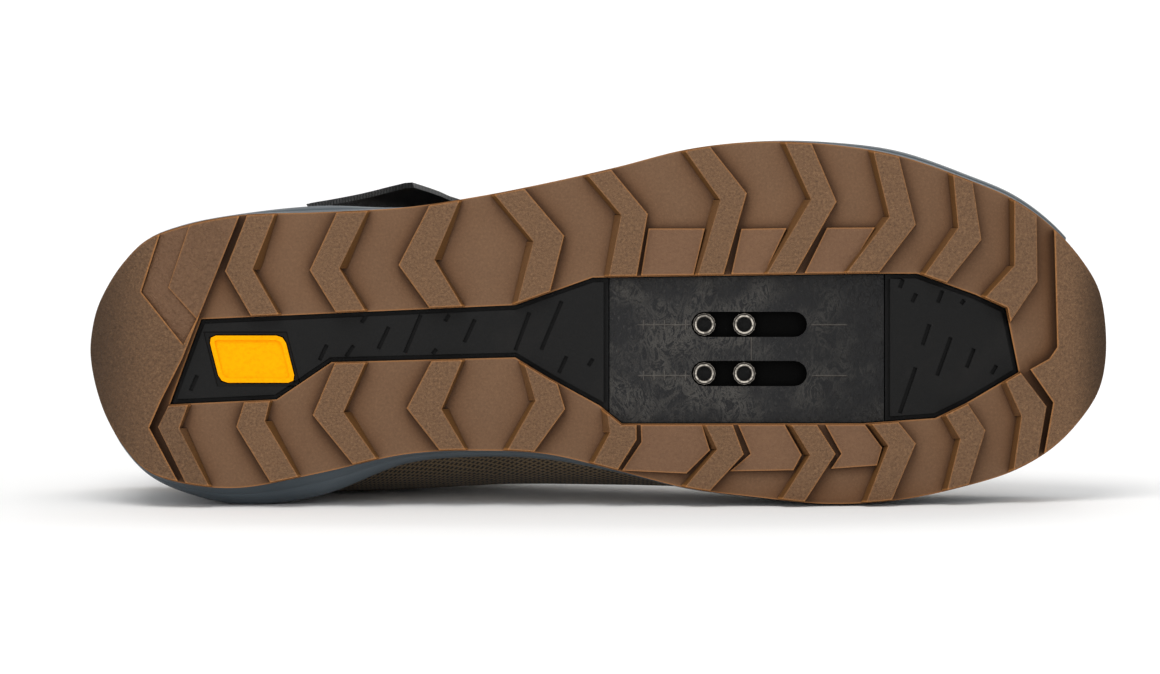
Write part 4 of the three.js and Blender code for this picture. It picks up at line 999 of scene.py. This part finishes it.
def lugEdge(row, edge, root):  # from the rim over the fold to the window, on the heel or the toe side
    side, fold = row[0], np.array([row[3 + edge] * shoe["length"], row[5 + edge] * shoe["ballWidth"]])
    rimX, sillX = row[1 + edge] * shoe["length"], row[7 + edge] * shoe["length"]
    rim = fold + (np.array([rimX, edgeAt(gumOutline, rimX, side)]) - fold) * lugCut["pastRim"]
    sill = fold + (np.array([sillX, edgeAt(windowOutline, sillX, side)]) - fold) * lugCut["pastSill"]
    beside = fold + (sill - fold) / np.linalg.norm(sill - fold) * 0.06
    heelward = row[3] < row[1]
    leans = (lugCut["steep"],) * 4
    if edge == heelward:  # the hollow side slopes more
        leans = lugCut["heelward" if heelward else "toeward"]
    way = (1 if edge else -1) * root
    return [point + np.array([way * lean, 0]) for point, lean in zip((rim, fold, beside, sill), leans)]


def lug(row):  # tip at the ground, root in the rubber
    return loftOf("lug", [np.array([(x, y, lugCut["root"] * root) for x, y in
                                    lugEdge(row, 0, root) + lugEdge(row, 1, root)[::-1]]) for root in (0, 1)])


def bent(thing, span=3.0):  # flat drawing onto the curve of the tread
    mesh = bmesh.new()
    mesh.from_mesh(thing.data)
    atHeel = np.arange(0, tread["bevelEnd"] + span, span)
    atToe = np.arange(tread["springStart"], shoe["length"] + span, span)
    for x in [*atHeel, *atToe]:
        whole = mesh.verts[:] + mesh.edges[:] + mesh.faces[:]
        bmesh.ops.bisect_plane(mesh, geom=whole, plane_co=Vector(toRow([x, 0, 0])), plane_no=axisX)
    places = fromRow(np.array([v.co for v in mesh.verts]))
    places[:, 2] += [treadAt(x) for x in places[:, 0]]
    for vertex, place in zip(mesh.verts, toRow(places)):
        vertex.co = place
    mesh.to_mesh(thing.data)
    mesh.free()
    return thing


def treadLayer(low, high):
    return layerSolid("treadLayer", lambda x: treadAt(x) + low, lambda x: treadAt(x) + high)


bumperCut = dict(wall=3, height=15, lateralX=299.8, medialX=244.2, tip=319, across=103, high=120,
                 notch=((288.5, -17.5), (284.2, -16.9), (284.0, -15.4), (288.5, -13.4)))


def bumper(inner, outer, extra):
    high, across, tip = bumperCut["high"], bumperCut["across"], bumperCut["tip"]
    wall = prism("bumperWall", grown(gumOutline, outer), 0, high)
    core = prism("bumperCore", grown(gumOutline, -inner), -1, high + 1)
    front = prism("bumperFront", [(bumperCut["lateralX"] - extra, -across), (tip, -across), (tip, across),
                                  (bumperCut["medialX"] - extra, across)], -1, high + 1)
    band = treadLayer(lugCut["root"], bumperCut["height"] + extra)
    notch = prism("bumperNotch", curved(bumperCut["notch"], 4), -5, high + 1)
    steps = [("DIFFERENCE", core), ("INTERSECT", front), ("INTERSECT", band), ("DIFFERENCE", notch)]
    made = carve("bumper", wall, steps[:3] if extra else steps)
    discard(wall, core, front, band, notch)
    return made


inset = prism("gumInset", grown(gumOutline, -lugCut["inset"]), -1, 20)
opened = prism("gumOpened", grown(windowOutline, lugCut["inset"]), -2, 21)
hole = prism("gumHole", windowOutline, -3, 22)
sheet = prism("gumSheet", gumOutline, lugCut["sheet"], lugCut["sheet"] + lugCut["rubber"])
blocks = [lug(row) for row in lugRows]
blocks += [prism("shelf", placed(corners), tread["shelf"], lugCut["root"]) for corners in shelfBlocks]
blocks += [prism("pad", placed(corners), 0, lugCut["root"]) for corners in (heelPad, toePad)]
band = prism("heelBand", placed(heelBand), -1, tread["band"])
plate = prism("heelPlate", placed(heelPlate), -1, tread["plate"])
frontBlocks = carve("frontBlocks", blocks[0], [("UNION", b) for b in blocks[1:]] + [
    ("DIFFERENCE", band), ("DIFFERENCE", plate), ("INTERSECT", inset), ("DIFFERENCE", opened)])
flat = carve("flatSole", sheet, [("DIFFERENCE", hole), ("UNION", frontBlocks)])
discard(inset, opened, sheet, band, plate, frontBlocks, *blocks)
bent(flat)
toeWrap = bumper(bumperCut["wall"], 0, 0)
outsole = carve("outsole_rubber", flat, [("UNION", toeWrap)])
discard(flat, toeWrap)
finished(softEdges(slimmed(outsole, 0.4), 24), gumRubber(), "gum_rubber", "outsole")
print("outsole", len(outsole.data.polygons))


# Midsole: a smooth side that rolls in at the top, with a fine groove above the rubber
foamCut = dict(groove=0.17, grooveDeep=0.4, grooveWide=0.018, ease=0.3, roll=1.5, pocket=11, past=10,
               shares=(-0.6, 0, 0.05, 0.1, 0.135, 0.155, 0.17, 0.185, 0.205, 0.25, 0.35, 0.5, 0.65, 0.76,
                       0.85, 0.92, 0.97, 1.0, 1.5))


def foamBottom(x):
    return treadAt(x) + lugCut["sheet"] + lugCut["rubber"] + shoe["clearance"]


rings = []
for share in foamCut["shares"]:
    blend = smoothstep(share, -0.05, 0.42)
    rollIn = foamCut["ease"] * smoothstep(share, 0.3, 0.65)
    rollIn += foamCut["roll"] * max(0.0, (min(share, 1) - 0.6) / 0.4) ** 2.4
    rollIn += foamCut["grooveDeep"] * math.exp(-((share - foamCut["groove"]) / foamCut["grooveWide"]) ** 2)
    line = grown(gumOutline * (1 - blend) + sideOutline * blend, -rollIn)
    rings.append(np.array([(x, y, foamBottom(x) + (footbedAt(x) - foamBottom(x)) * share) for x, y in line]))
block = loftOf("foamBlock", rings)
span = layerSolid("foamSpan", foamBottom, footbedAt)
pocketWall = prism("pocketWall", grown(windowOutline, shoe["clearance"]), -6, 120)
pocketSpan = treadLayer(0, foamCut["pocket"])
pocket = carve("pocket", pocketWall, [("INTERSECT", pocketSpan)])
wrap = bumper(bumperCut["wall"] + shoe["clearance"], foamCut["past"], shoe["clearance"])
midsole = carve("midsole_foam", block, [("INTERSECT", span), ("DIFFERENCE", pocket), ("DIFFERENCE", wrap)])
discard(block, span, pocketWall, pocketSpan, pocket, wrap)
finished(softEdges(midsole, 30), foam(), "foam", "midsole")
print("midsole", len(midsole.data.polygons))


# Inserts with short slanted grooves cut into them: from, to, in millimetres
dashes = [
    (28.6, 17.3, 30.5, 12.9), (65.3, 8.6, 67.4, 4.2), (72.8, 7.6, 75, 4.4), (77.2, -2.1, 78.6, -4.1),
    (82, 5.4, 85, -0.9), (89.6, 6.5, 94.1, -4.3), (97.4, 6.9, 98.6, 5.4), (101, -2.5, 102.2, -4.4),
    (106.5, 3.5, 109.5, -3), (121, 5.8, 125, -5), (128.4, 5.6, 134.2, -8.2), (133.4, 12.2, 135.6, 7.5),
    (141.8, 10.2, 143.1, 8.2), (230.5, -12, 231.4, -14.4), (234, -8, 235.2, -10.4),
    (241.4, -7.8, 242.7, -11.2), (248.1, -7.4, 249, -8.6), (237, 4.3, 239, -1.6), (230.5, 23.7, 235, 10.7),
    (241.2, 13, 245.1, 2.1), (249.7, 10.7, 251.8, 5.3), (256.9, 12.5, 258.3, 10.1),
]
dashCut = dict(width=1.15, deep=0.9, low=-1.2, face=3.4, heelOnes=13)


def dashTool(x1, y1, x2, y2):
    start, end = np.array([x1, y1]), np.array([x2, y2])
    run = (end - start) / np.linalg.norm(end - start)
    beside = np.array([-run[1], run[0]]) * dashCut["width"] / 2
    corners = [start + beside, start - beside, end - beside, end + beside]
    return loftOf("dash", [np.array([(x, y, treadAt(x) + dashCut["face"] + up) for x, y in corners])
                           for up in (dashCut["low"], dashCut["deep"])])


def dashedInsert(node, material, places):
    base = bpy.data.objects.new("base", nodes[node].data.copy())
    bpy.context.collection.objects.link(base)
    weld = base.modifiers.new("weld", "WELD")
    weld.merge_threshold = 1e-6
    tools = [dashTool(*place) for place in places]
    made = carve(node + "_rubber", base, [("DIFFERENCE", tool) for tool in tools])
    discard(base, *tools)
    print(node, len(made.data.polygons))
    return finished(softEdges(slimmed(made, 0.5), 30, 0.22), material, "black_rubber", node)


insertFinish = blackRubber()
dashedInsert("heel_insert", insertFinish, dashes[:dashCut["heelOnes"]])
dashedInsert("toe_insert", insertFinish, dashes[dashCut["heelOnes"]:])

dress("cleat_plate", composite(), 0.3)
dress("cleat_nut_plate", steel(), 0.15)
dress("heel_inlay", inlay(), 0.25)


# Places on the last
def onTop(x, y, offset):  # seen from above
    near, normal, _, _ = surfaceMesh.ray_cast(Vector((x, y, 400)), Vector((0, 0, -1)))
    normal = normal if normal.z > 0 else -normal
    return np.array(near + normal * offset), np.array(normal)


def onSide(x, z, side, offset):  # seen from the inner side, 1, or the outer side, -1
    near, normal, _, _ = surfaceMesh.ray_cast(Vector((x, side * 200, z)), Vector((0, -side, 0)))
    if near is None:
        return None
    normal = normal if normal.y * side > 0 else -normal
    return np.array(near + normal * offset), np.array(normal)


def sweepOf(name, path, ups, widths, heights, power=2.6, sides=12, closed=False):
    path, ups = np.asarray(path), np.asarray(ups)
    ahead = np.gradient(path, axis=0)
    if closed:
        ahead = np.roll(path, -1, axis=0) - np.roll(path, 1, axis=0)
    ahead /= np.linalg.norm(ahead, axis=1)[:, None]
    beside = np.cross(ahead, ups)
    beside /= np.linalg.norm(beside, axis=1)[:, None]
    above = np.cross(beside, ahead)
    turns = np.linspace(0, 2 * math.pi, sides, endpoint=False)
    wide = np.sign(np.cos(turns)) * np.abs(np.cos(turns)) ** (2 / power) / 2
    tall = np.sign(np.sin(turns)) * np.abs(np.sin(turns)) ** (2 / power) / 2
    widths, heights = np.broadcast_to(widths, len(path)), np.broadcast_to(heights, len(path))
    rings = [p + np.outer(wide * w, b) + np.outer(tall * h, a)
             for p, b, a, w, h in zip(path, beside, above, widths, heights)]
    return loftOf(name, rings, closed)


def together(name, things):  # several meshes as one
    points, faces = [], []
    for thing in things:
        start = len(points)
        points += [tuple(v.co) for v in thing.data.vertices]
        faces += [[start + i for i in p.vertices] for p in thing.data.polygons]
    discard(*things)
    return meshOf(name, points, faces, upright=False)


# Tongue
tongueCut = dict(back=86, front=184, edge=10.5, top=-2.75, thick=4.2, crown=1.1, rings=90, across=25,
                 quilts=(94, 103, 112, 121, 130), quiltWide=1.5, quiltDeep=0.9,
                 tapeFrom=126, tapeCorner=88.5, tapeBack=87, tape=(3.4, 4.9))


def tongueHalf(x):
    return throatHalf(max(x, opening["throatBack"])) + tongueCut["edge"]


def tongueRing(x):
    run = (x - tongueCut["back"]) / (tongueCut["front"] - tongueCut["back"])
    end = min(1.0, min(run, 1 - run) / 0.05)
    full = math.sqrt(max(0.02, 1 - (1 - end) ** 2))
    half = tongueHalf(x) * (0.8 + 0.2 * full if run < 0.5 else 0.9 + 0.1 * full)
    quilt = sum(math.exp(-((x - place) / tongueCut["quiltWide"]) ** 2) for place in tongueCut["quilts"])
    quilt *= tongueCut["quiltDeep"]
    upper, lower = [], []
    for v in np.linspace(-1, 1, tongueCut["across"]):
        edge = (1 - abs(v) ** 8) ** 0.5
        inside = max(0.0, 1 - (abs(v) / 0.62) ** 4)
        out = tongueCut["top"] - (1 - edge) * tongueCut["thick"] / 2
        out += (tongueCut["crown"] - quilt) * inside * full
        thick = max(0.5, tongueCut["thick"] * edge * full)
        point, normal = onTop(x, throatMiddle(x) + v * half, 0)
        upper.append(point + normal * out)
        lower.append(point + normal * (out - thick - 0.4 * inside))
    return np.array(upper + lower[::-1])


ringPlaces = np.linspace(tongueCut["back"], tongueCut["front"], tongueCut["rings"])
tongueFinish = knitted("tongueKnit", "231f1b", "4c443b", 1.2, 0.14)
tongue = loftOf("tongue_pad", [tongueRing(x) for x in ringPlaces])
clad(tongue, 60, 0, tongueFinish, "knit", "tongue")
alongTape = np.linspace(tongueCut["tapeFrom"], tongueCut["tapeCorner"], 28)
tapePlaces = [(x, 1) for x in alongTape]
tapePlaces += [(tongueCut["tapeBack"], side) for side in np.linspace(0.9, -0.9, 20)]
tapePlaces += [(x, -1) for x in alongTape[::-1]]
tapePath, tapeUps = [], []
for x, side in tapePlaces:
    corner = 1 - 0.1 * max(0.0, 1 - (x - tongueCut["tapeBack"]) / 5)
    y = throatMiddle(x) + side * tongueHalf(x) * corner * 0.97
    point, normal = onTop(x, y, tongueCut["top"] - tongueCut["thick"] / 2)
    tapePath.append(point)
    tapeUps.append(normal)
bindingTape = sweepOf("tongue_binding", tapePath, tapeUps, *tongueCut["tape"])
clad(bindingTape, 60, 0, knitted("bindingTape", "15130f", "332d26", 0.8, 0.1), "knit")
print("tongue", len(tongue.data.polygons))


# Lace, flat and woven, from eyelet to eyelet
laceCut = dict(width=5.6, thick=1.3, over=2.55, lift=1.4, liftWide=5.5, sag=0.9, points=44,
               dip=5.5, dipRun=2.6, pinch=0.38, pinchRun=3.2)


def laceRun(name, start, end, lift):
    start, end = np.array(start), np.array(end)
    span = float(np.hypot(*(end - start)))
    path, ups, widths, heights = [], [], [], []
    for s in np.linspace(0, 1, laceCut["points"]):
        far = min(s, 1 - s) * span
        x, y = start + (end - start) * s
        point, normal = onTop(x, y, 0)
        dip = laceCut["dip"] * max(0.0, 1 - far / laceCut["dipRun"]) ** 1.6
        rise = lift * math.exp(-((s - 0.5) * span / laceCut["liftWide"]) ** 2)
        sag = laceCut["sag"] * math.sin(math.pi * s) ** 2
        path.append(point + normal * (laceCut["over"] - dip - sag + rise))
        ups.append(normal)
        narrow = max(0.0, 1 - far / laceCut["pinchRun"])
        widths.append(laceCut["width"] * (1 - laceCut["pinch"] * narrow))
        heights.append(laceCut["thick"] * (1 + 0.5 * narrow))
    ahead, runs = np.append(end - start, 0) / span, np.gradient(np.array(path), axis=0)
    ups = np.array([np.cross(np.cross(ahead, up), run) for up, run in zip(ups, runs)])
    ups /= np.linalg.norm(ups, axis=1)[:, None]
    return sweepOf(name, path, ups, widths, heights, 3.4, 14)


eyeletPairs = eyeletPlaces()
runs = []
for i, (medial, lateral) in enumerate(eyeletPairs[1:]):
    runs.append(laceRun("run", medial, eyeletPairs[i][1], 0.0))
    runs.append(laceRun("run", lateral, eyeletPairs[i][0], laceCut["lift"]))
runs.append(laceRun("run", eyeletPairs[-1][0], eyeletPairs[-1][1], 0.0))
lace = together("lace_runs", runs)


braidLook = dict(base="1e1b17", light="4a4136", period=0.8)


def braided():
    cord = Finish("laceBraid", braidLook["base"], roughness=0.85, specular=0.15, sheen=0.25)
    turn = 2 * math.pi / braidLook["period"]
    ticks = ((cord.x + cord.y) * turn).sin() * ((cord.x - cord.y) * turn).sin()
    fibre = cord.noise(0.25, 3, 0.7)
    cord.tint(braidLook["light"], (ticks * 0.5 + 0.5) * 0.8 + fibre * 0.3)
    return cord.done(ticks * 0.6 + fibre * 0.4, 0.12, roughness=0.8 + 0.15 * fibre)


finished(softEdges(lace, 70), braided(), "cord", "lace")
eyeletRim = dict(radius=2.75, wide=1.2, high=0.7, sides=24)
rings = []
for x, y in [place for pair in eyeletPairs for place in pair]:
    centre, normal = onTop(x, y, overlay["high"] + 0.05)
    first = np.cross(normal, [0, 1, 0])
    first /= np.linalg.norm(first)
    second = np.cross(normal, first)
    turns = np.linspace(0, 2 * math.pi, eyeletRim["sides"], endpoint=False)
    path = [centre + (math.cos(a) * first + math.sin(a) * second) * eyeletRim["radius"] for a in turns]
    ups = [normal] * len(path)
    rings.append(sweepOf("ring", path, ups, eyeletRim["wide"], eyeletRim["high"], 2.2, 8, True))
eyeletRings = together("eyelet_rings", rings)


eyeletLook = dict(base="2b2c2e", scratch="54565a")


def eyeletMetal():
    metal = Finish("eyeletMetal", eyeletLook["base"], metallic=0.9, roughness=0.38)
    scratch = metal.noise(0.5, 4, 0.7)
    metal.tint(eyeletLook["scratch"], scratch)
    return metal.done(scratch, 0.03, roughness=0.3 + 0.2 * scratch)


finished(softEdges(eyeletRings, 60), eyeletMetal(), "steel")
print("laces", len(runs))


# Strap over the instep with its free end standing off the outer side, and the patch it closes on
strapCut = dict(thick=1.9, low=2.6, close=2.2, closeFrom=118, closeTo=138, flare=4.2, flareFrom=128, past=19,
                rows=((42, 0.335, 0.438), (62, 0.335, 0.44), (82, 0.332, 0.439), (102, 0.324, 0.434),
                      (120, 0.306, 0.422), (138, 0.28, 0.403), (152, 0.24, 0.382), (164, 0.208, 0.366)),
                tip=((0, 4), (0.25, 9), (0.5, 14), (0.74, 19), (0.88, 4), (1, -12)),
                peak=((0, 0.8), (0.4, 0.85), (0.74, 1), (1, 0.4)))


def lastPoint(x, degrees, offset):
    row = rowAt(x)
    along, wide, crown, middle, half = sectionOf(row, offset)
    below = max(0, degrees - 180)
    angle = math.radians(min(degrees, 180))
    y = middle + half * np.sign(math.cos(angle)) * abs(math.cos(angle)) ** (2 / row["square"])
    z = wide + crown * max(0, math.sin(angle)) ** (2 / row["square"])
    point = tucked(np.array([along]), np.array([y]), np.array([z]))[0]
    return point - np.array([0, 0, below * 1.1])


def strapAt(run, across, depth):  # run 0 at the inner side, 1 at the free end's point
    rows = np.array(strapCut["rows"], dtype=float)
    lastTurn = rows[-1][0]
    past = float(np.interp(across, *zip(*strapCut["tip"])))
    reach = (lastTurn - rows[0][0]) + past
    turned = rows[0][0] + run * reach
    if turned <= lastTurn:
        _, back, front = hermite(rows, float(np.interp(turned, rows[:, 0], range(len(rows)))))
    else:
        _, back, front = rows[-1] - np.array([0, 0.004, 0.004]) * (turned - lastTurn) / strapCut["past"]
    x = shoe["length"] * (back + (front - back) * across)
    flareRun = lastTurn + strapCut["past"] - strapCut["flareFrom"]
    lift = strapCut["flare"] * max(0, (turned - strapCut["flareFrom"]) / flareRun) ** 2
    lift *= float(np.interp(across, *zip(*strapCut["peak"])))
    closing = smoothstep(turned, strapCut["closeFrom"], strapCut["closeTo"])
    low = strapCut["low"] + (strapCut["close"] - strapCut["low"]) * closing
    sway = 0.35 * math.sin(run * 11 + across * 2) * min(1, run * 6) * (1 - abs(2 * across - 1) ** 2)
    return lastPoint(x, turned, low + depth + lift + sway)


strapGrid = dict(runs=80, across=25)  # points along and across
top, bottom = [], []
for run in np.linspace(0, 1, strapGrid["runs"]):
    for across in np.linspace(0, 1, strapGrid["across"]):
        slim = 0.25 * max(0.0, abs(2 * across - 1) ** 12) + 0.2 * max(0.0, abs(2 * run - 1) ** 40)
        bottom.append(strapAt(run, across, slim))
        top.append(strapAt(run, across, strapCut["thick"] - slim))
strap = thickSheet("strap_band", bottom, top, strapGrid["across"])


pileLook = dict(base="040404", light="101011", speck="5c5c5d", loop=0.55)
webLook = dict(base="0a0b0c", light="1e2022", rib=0.9, pick=0.7)


def loopPile():
    pile = Finish("loopPile", pileLook["base"], roughness=0.95, specular=0.05, sheen=0.1, sheenRoughness=0.6)
    loops = pile.cells(pileLook["loop"])
    fuzz = pile.noise(0.4, 4, 0.8, warp=1.5)
    speck = pile.noise(0.9, 2, 0.6).ease(0.66, 0.72)
    pile.tint(pileLook["light"], fuzz.ease(0.35, 0.75))
    pile.tint(pileLook["speck"], speck * 0.45)
    return pile.done(loops + fuzz * 1.2, 0.4)


def webbing():
    tape = Finish("strapWebbing", webLook["base"], roughness=0.75, specular=0.25, sheen=0.2)
    rib = tape.x / webLook["rib"]
    weft = (tape.girth() / webLook["pick"] + rib.floor() * 0.5).wave()
    fibre = tape.noise(0.3, 3, 0.7)
    height = rib.wave() * 0.6 + weft * 0.5 + fibre * 0.2
    tape.tint(webLook["light"], height.ease(0.3, 1.1))
    return tape.done(height, 0.13, roughness=0.7 + 0.2 * fibre)


pileFinish = loopPile()
finished(measured(strap), webbing(), "loop_tape", "instep_strap")
strap.data.materials.append(pileFinish)
below = (strapGrid["runs"] - 1) * (strapGrid["across"] - 1)
for polygon in strap.data.polygons:
    polygon.use_smooth = True
    polygon.material_index = 1 if polygon.index < below else 0
strap.data.set_sharp_from_angle(angle=math.radians(50))

patchCut = dict(thick=1, corners=((0.25, 49), (0.37, 47), (0.4, 77), (0.33, 87), (0.29, 75)))
padLine = [(along * shoe["length"], up) for along, up in patchCut["corners"]]
padTool = prism("padTool", padLine, -overlay["reach"], 0, "xz")
keepTool = prism("keepTool", throatOutline(opening["eyestay"] + 1, 60), waist, roof)
patch = shellOf("hook_patch", overlay["low"], overlay["low"] + patchCut["thick"],
                [("INTERSECT", padTool), ("DIFFERENCE", keepTool)])
discard(padTool, keepTool)
clad(patch, 40, 0.3, pileFinish, "loop_tape", "strap_pad")
print("strap", len(strap.data.polygons), len(patch.data.polygons))


# Insole
insoleCut = dict(low=0.3, high=4.5, inside=-2.6, drop=6)
bedTop = layerSolid("bedTop", lambda x: footbedAt(x) + insoleCut["low"],
                    lambda x: footbedAt(x) + insoleCut["high"])
innerLast = lastSolid("innerLast", insoleCut["inside"], insoleCut["drop"])
insole = carve("insole_bed", innerLast, [("INTERSECT", bedTop)])
discard(bedTop, innerLast)
clad(insole, 40, 0.8, knitted("insoleCloth", "26282a", "3f4347", 1.0, 0.1), "footbed", "insole")


# Padded collar: a roll along the edge and a soft cushion inside the ankle
collarCut = dict(roll=5.2, tall=6.4, inset=2.0, lower=1.2, points=150, ends=9.0, outer=-0.2, deep=-6.2,
                 lining=-2.25, cushion=25, bulge=4.0, across=12, lift=0.25, crease=0.55)


def collarPath(offset):  # where the collar's line meets the last, from the throat round the heel and back
    line = collarLine()
    grid = gridOf(offset, 0)
    edges = {0: [], 1: []}
    for i, ring in enumerate(grid):
        if ring[len(ring) // 2][0] > opening["throatBack"] + 1:
            break
        gap = ring[:, 2] - np.interp(ring[:, 0], line[:, 0], line[:, 1])
        ups = [j for j in range(len(ring) - 1) if gap[j] < 0 <= gap[j + 1]]
        downs = [j for j in range(len(ring) - 1) if gap[j] >= 0 > gap[j + 1]]
        if ups and downs:
            for side, j in ((0, ups[0]), (1, downs[-1])):
                edges[side].append((i, j + gap[j] / (gap[j] - gap[j + 1])))
    return grid, edges[0][::-1] + edges[1]


def onRing(ring, place):
    place = min(max(place, 0), len(ring) - 1.001)
    j = int(place)
    return ring[j] + (ring[j + 1] - ring[j]) * (place - j)


def evened(points, count, passes=6):
    for _ in range(passes):
        points = np.concatenate([points[:1], (points[:-2] + 2 * points[1:-1] + points[2:]) / 4, points[-1:]])
    reach = reachOf(points)
    return spreadAt(np.linspace(0, reach[-1], count), reach, points)


outerGrid, collarEdge = collarPath(collarCut["outer"])
innerGrid, liningGrid = (gridOf(collarCut[key], 0) for key in ("deep", "lining"))
edgePoints = np.array([onRing(outerGrid[i], j) for i, j in collarEdge])
inward = np.array([onRing(innerGrid[i], j) - onRing(outerGrid[i], j) for i, j in collarEdge])
inward /= np.linalg.norm(inward, axis=1)[:, None]
rollCount = collarCut["points"]
rollPath = evened(edgePoints + inward * collarCut["inset"] - np.array([0, 0, collarCut["lower"]]), rollCount)
fromEnd = np.minimum(np.arange(rollCount), np.arange(rollCount)[::-1])
rollSize = np.minimum(1, 0.35 + fromEnd / collarCut["ends"])
rollUps = evened(np.cross(np.gradient(edgePoints, axis=0), inward), rollCount)
rollUps *= np.sign(rollUps[rollCount // 2][2])
rollWide, rollTall = collarCut["roll"] * rollSize, collarCut["tall"] * rollSize
roll = sweepOf("collar_roll", rollPath, rollUps, rollWide, rollTall, 2.2, 18)
collarFinish = knitted("collarKnit", "221e1a", "453d34", 1.1, 0.12)
clad(roll, 70, 0, collarFinish, "knit")

front, back = [], []
for i, place in collarEdge:
    down = -1 if place < len(liningGrid[i]) / 2 else 1
    ring, deep = liningGrid[i], innerGrid[i]
    middle = len(ring) // 2
    step = max(np.linalg.norm(ring[middle - 2] - ring[middle - 1]), 0.4)
    drop = min(collarCut["cushion"] / step, (place if down < 0 else len(ring) - 1 - place) - 4)
    for s in np.linspace(0.06, 1, collarCut["across"]):
        base, inner = (onRing(line, place + down * drop * s) for line in (ring, deep))
        swell = max(0.0, math.sin(math.pi * min(1, s * 1.02))) ** 0.6
        swell *= 1 - 0.35 * math.exp(-((s - collarCut["crease"]) / 0.05) ** 2)
        push = (inner - base) / max(np.linalg.norm(inner - base), 1e-6)
        front.append(base + push * (collarCut["lift"] + collarCut["bulge"] * swell))
        back.append(base + push * 0.05)
cushion = clad(thickSheet("collar_cushion", front, back, collarCut["across"]), 70, 0, collarFinish, "knit")
print("collar", len(roll.data.polygons), len(cushion.data.polygons))


# Stitches: short raised threads along the seams
stitchCut = dict(sides=6, rise=(-0.28, 0.1, 0.18, 0.1, -0.28), swell=(0.45, 0.95, 1, 0.95, 0.45))


def stitchRow(path, length=2.3, gap=0.9, thread=0.62):  # path of points and the way that the surface faces
    points, normals = np.array([p for p, _ in path]), np.array([n for _, n in path])
    reach, sides = reachOf(points), stitchCut["sides"]
    made, at = [], gap
    while at + length < reach[-1]:
        spots = np.linspace(at, at + length, len(stitchCut["rise"]))
        line, lift = spreadAt(spots, reach, points), spreadAt(spots, reach, normals)
        lift /= np.linalg.norm(lift, axis=1)[:, None]
        line += lift * (np.array(stitchCut["rise"]) * thread / 0.5)[:, None]
        ahead = np.gradient(line, axis=0)
        ahead /= np.linalg.norm(ahead, axis=1)[:, None]
        for spot, a, b, size in zip(line, np.cross(ahead, lift), lift, stitchCut["swell"]):
            made += [spot + (a * math.cos(angle) + b * math.sin(angle)) * thread / 2 * size
                     for angle in np.arange(sides) * 2 * math.pi / sides]
        at += length + gap
    return made


def stitched(name, rows, material, slot):
    points = [point for row in rows for point in row]
    sides, rings = stitchCut["sides"], len(stitchCut["rise"])
    each, faces = sides * rings, []
    for base in range(0, len(points), each):
        faces += [(base + r * sides + k, base + r * sides + (k + 1) % sides,
                   base + (r + 1) * sides + (k + 1) % sides, base + (r + 1) * sides + k)
                  for r in range(rings - 1) for k in range(sides)]
        faces += [tuple(range(base, base + sides))[::-1], tuple(range(base + each - sides, base + each))]
    thing = meshOf(name, points, faces)
    for polygon in thing.data.polygons:
        polygon.use_smooth = True
    return finished(thing, material, slot)


def threadFinish(name, base, light):
    thread = Finish(name, base, roughness=0.6, specular=0.3, sheen=0.2)
    fibre = thread.noise(0.18, 3, 0.7)
    thread.tint(light, fibre.ease(0.3, 0.7))
    return thread.done(fibre, 0.05, roughness=0.5 + 0.3 * fibre)


def sideSeam(line, side, offset):
    return [spot for spot in (onSide(x, z, side, offset) for x, z in line) if spot is not None]


def evenLine(corners, step=1.2):
    corners = np.asarray(corners, dtype=float)
    reach = reachOf(corners)
    return spreadAt(np.arange(0, reach[-1], step), reach, corners)


seamCut = dict(inside=2.2, edge=2.0, throat=(106, 189), collar=(8, 92), below=6.2,
               counter=((73.5, 14), (70.8, 23), (63.6, 35.2), (48.4, 48.8), (26, 56.8), (8, 62)),
               cap=((190, 10), (201.5, 22), (226.2, 27.7), (250.6, 35.8), (267, 47.5)))
seams = []
for side in (1, -1):
    for spare in (opening["eyestay"] - seamCut["inside"], seamCut["edge"]):
        first, last = seamCut["throat"]
        along = np.linspace(first, last + spare * 0.4, 60)
        places = evenLine([(x, throatMiddle(x) + side * (throatHalf(x) + spare)) for x in along])
        seams.append(stitchRow([onTop(x, y, overlay["high"]) for x, y in places]))
    for corners in (seamCut["counter"], seamCut["cap"]):
        seams.append(stitchRow(sideSeam(evenLine(splined(corners, 8)), side, overlay["high"])))
stitched("overlay_stitches", seams, threadFinish("greyThread", "2f383d", "66727a"), "film")

collarSeams = []
for side in (1, -1):
    first, last = seamCut["collar"]
    places = evenLine([(x, z - seamCut["below"]) for x, z in collarLine() if first < x < last])
    collarSeams.append(stitchRow(sideSeam(places, side, 0.05), 2.0, 1.0, 0.55))
stitched("collar_stitches", collarSeams, threadFinish("brownThread", "2d241a", "6d5b41"), "weave")


def strapSeam(places, depth, way, *sizes):
    path = []
    for run, across in places:
        spot, other = strapAt(run, across, depth), strapAt(run, across, depth + way)
        path.append((spot, (other - spot) / np.linalg.norm(other - spot)))
    return stitchRow(path, *sizes)


strapStitches = dict(along=(0.03, 0.93, 220), end=0.94, edges=(0.05, 0.95),
                     below=((0.97, 0.9), (0.93, 0.1)))
strapSeams = [strapSeam([(run, across) for run in np.linspace(*strapStitches["along"])], strapCut["thick"], 1)
              for across in strapStitches["edges"]]
endPlaces = [(strapStitches["end"], across) for across in np.linspace(*strapStitches["edges"], 60)]
strapSeams.append(strapSeam(endPlaces, strapCut["thick"], 1))
for stop, across in strapStitches["below"]:  # the seams show on the pile below too
    strapSeams.append(strapSeam([(run, across) for run in np.linspace(0.72, stop, 60)], 0, -1, 2.6, 1.6))
stitched("strap_stitches", strapSeams, threadFinish("blackThread", "161617", "4a4b4d"), "loop_tape")
print("stitches")

discard(collarTool, throatTool, aboveBed, hole, *eyeletTools)
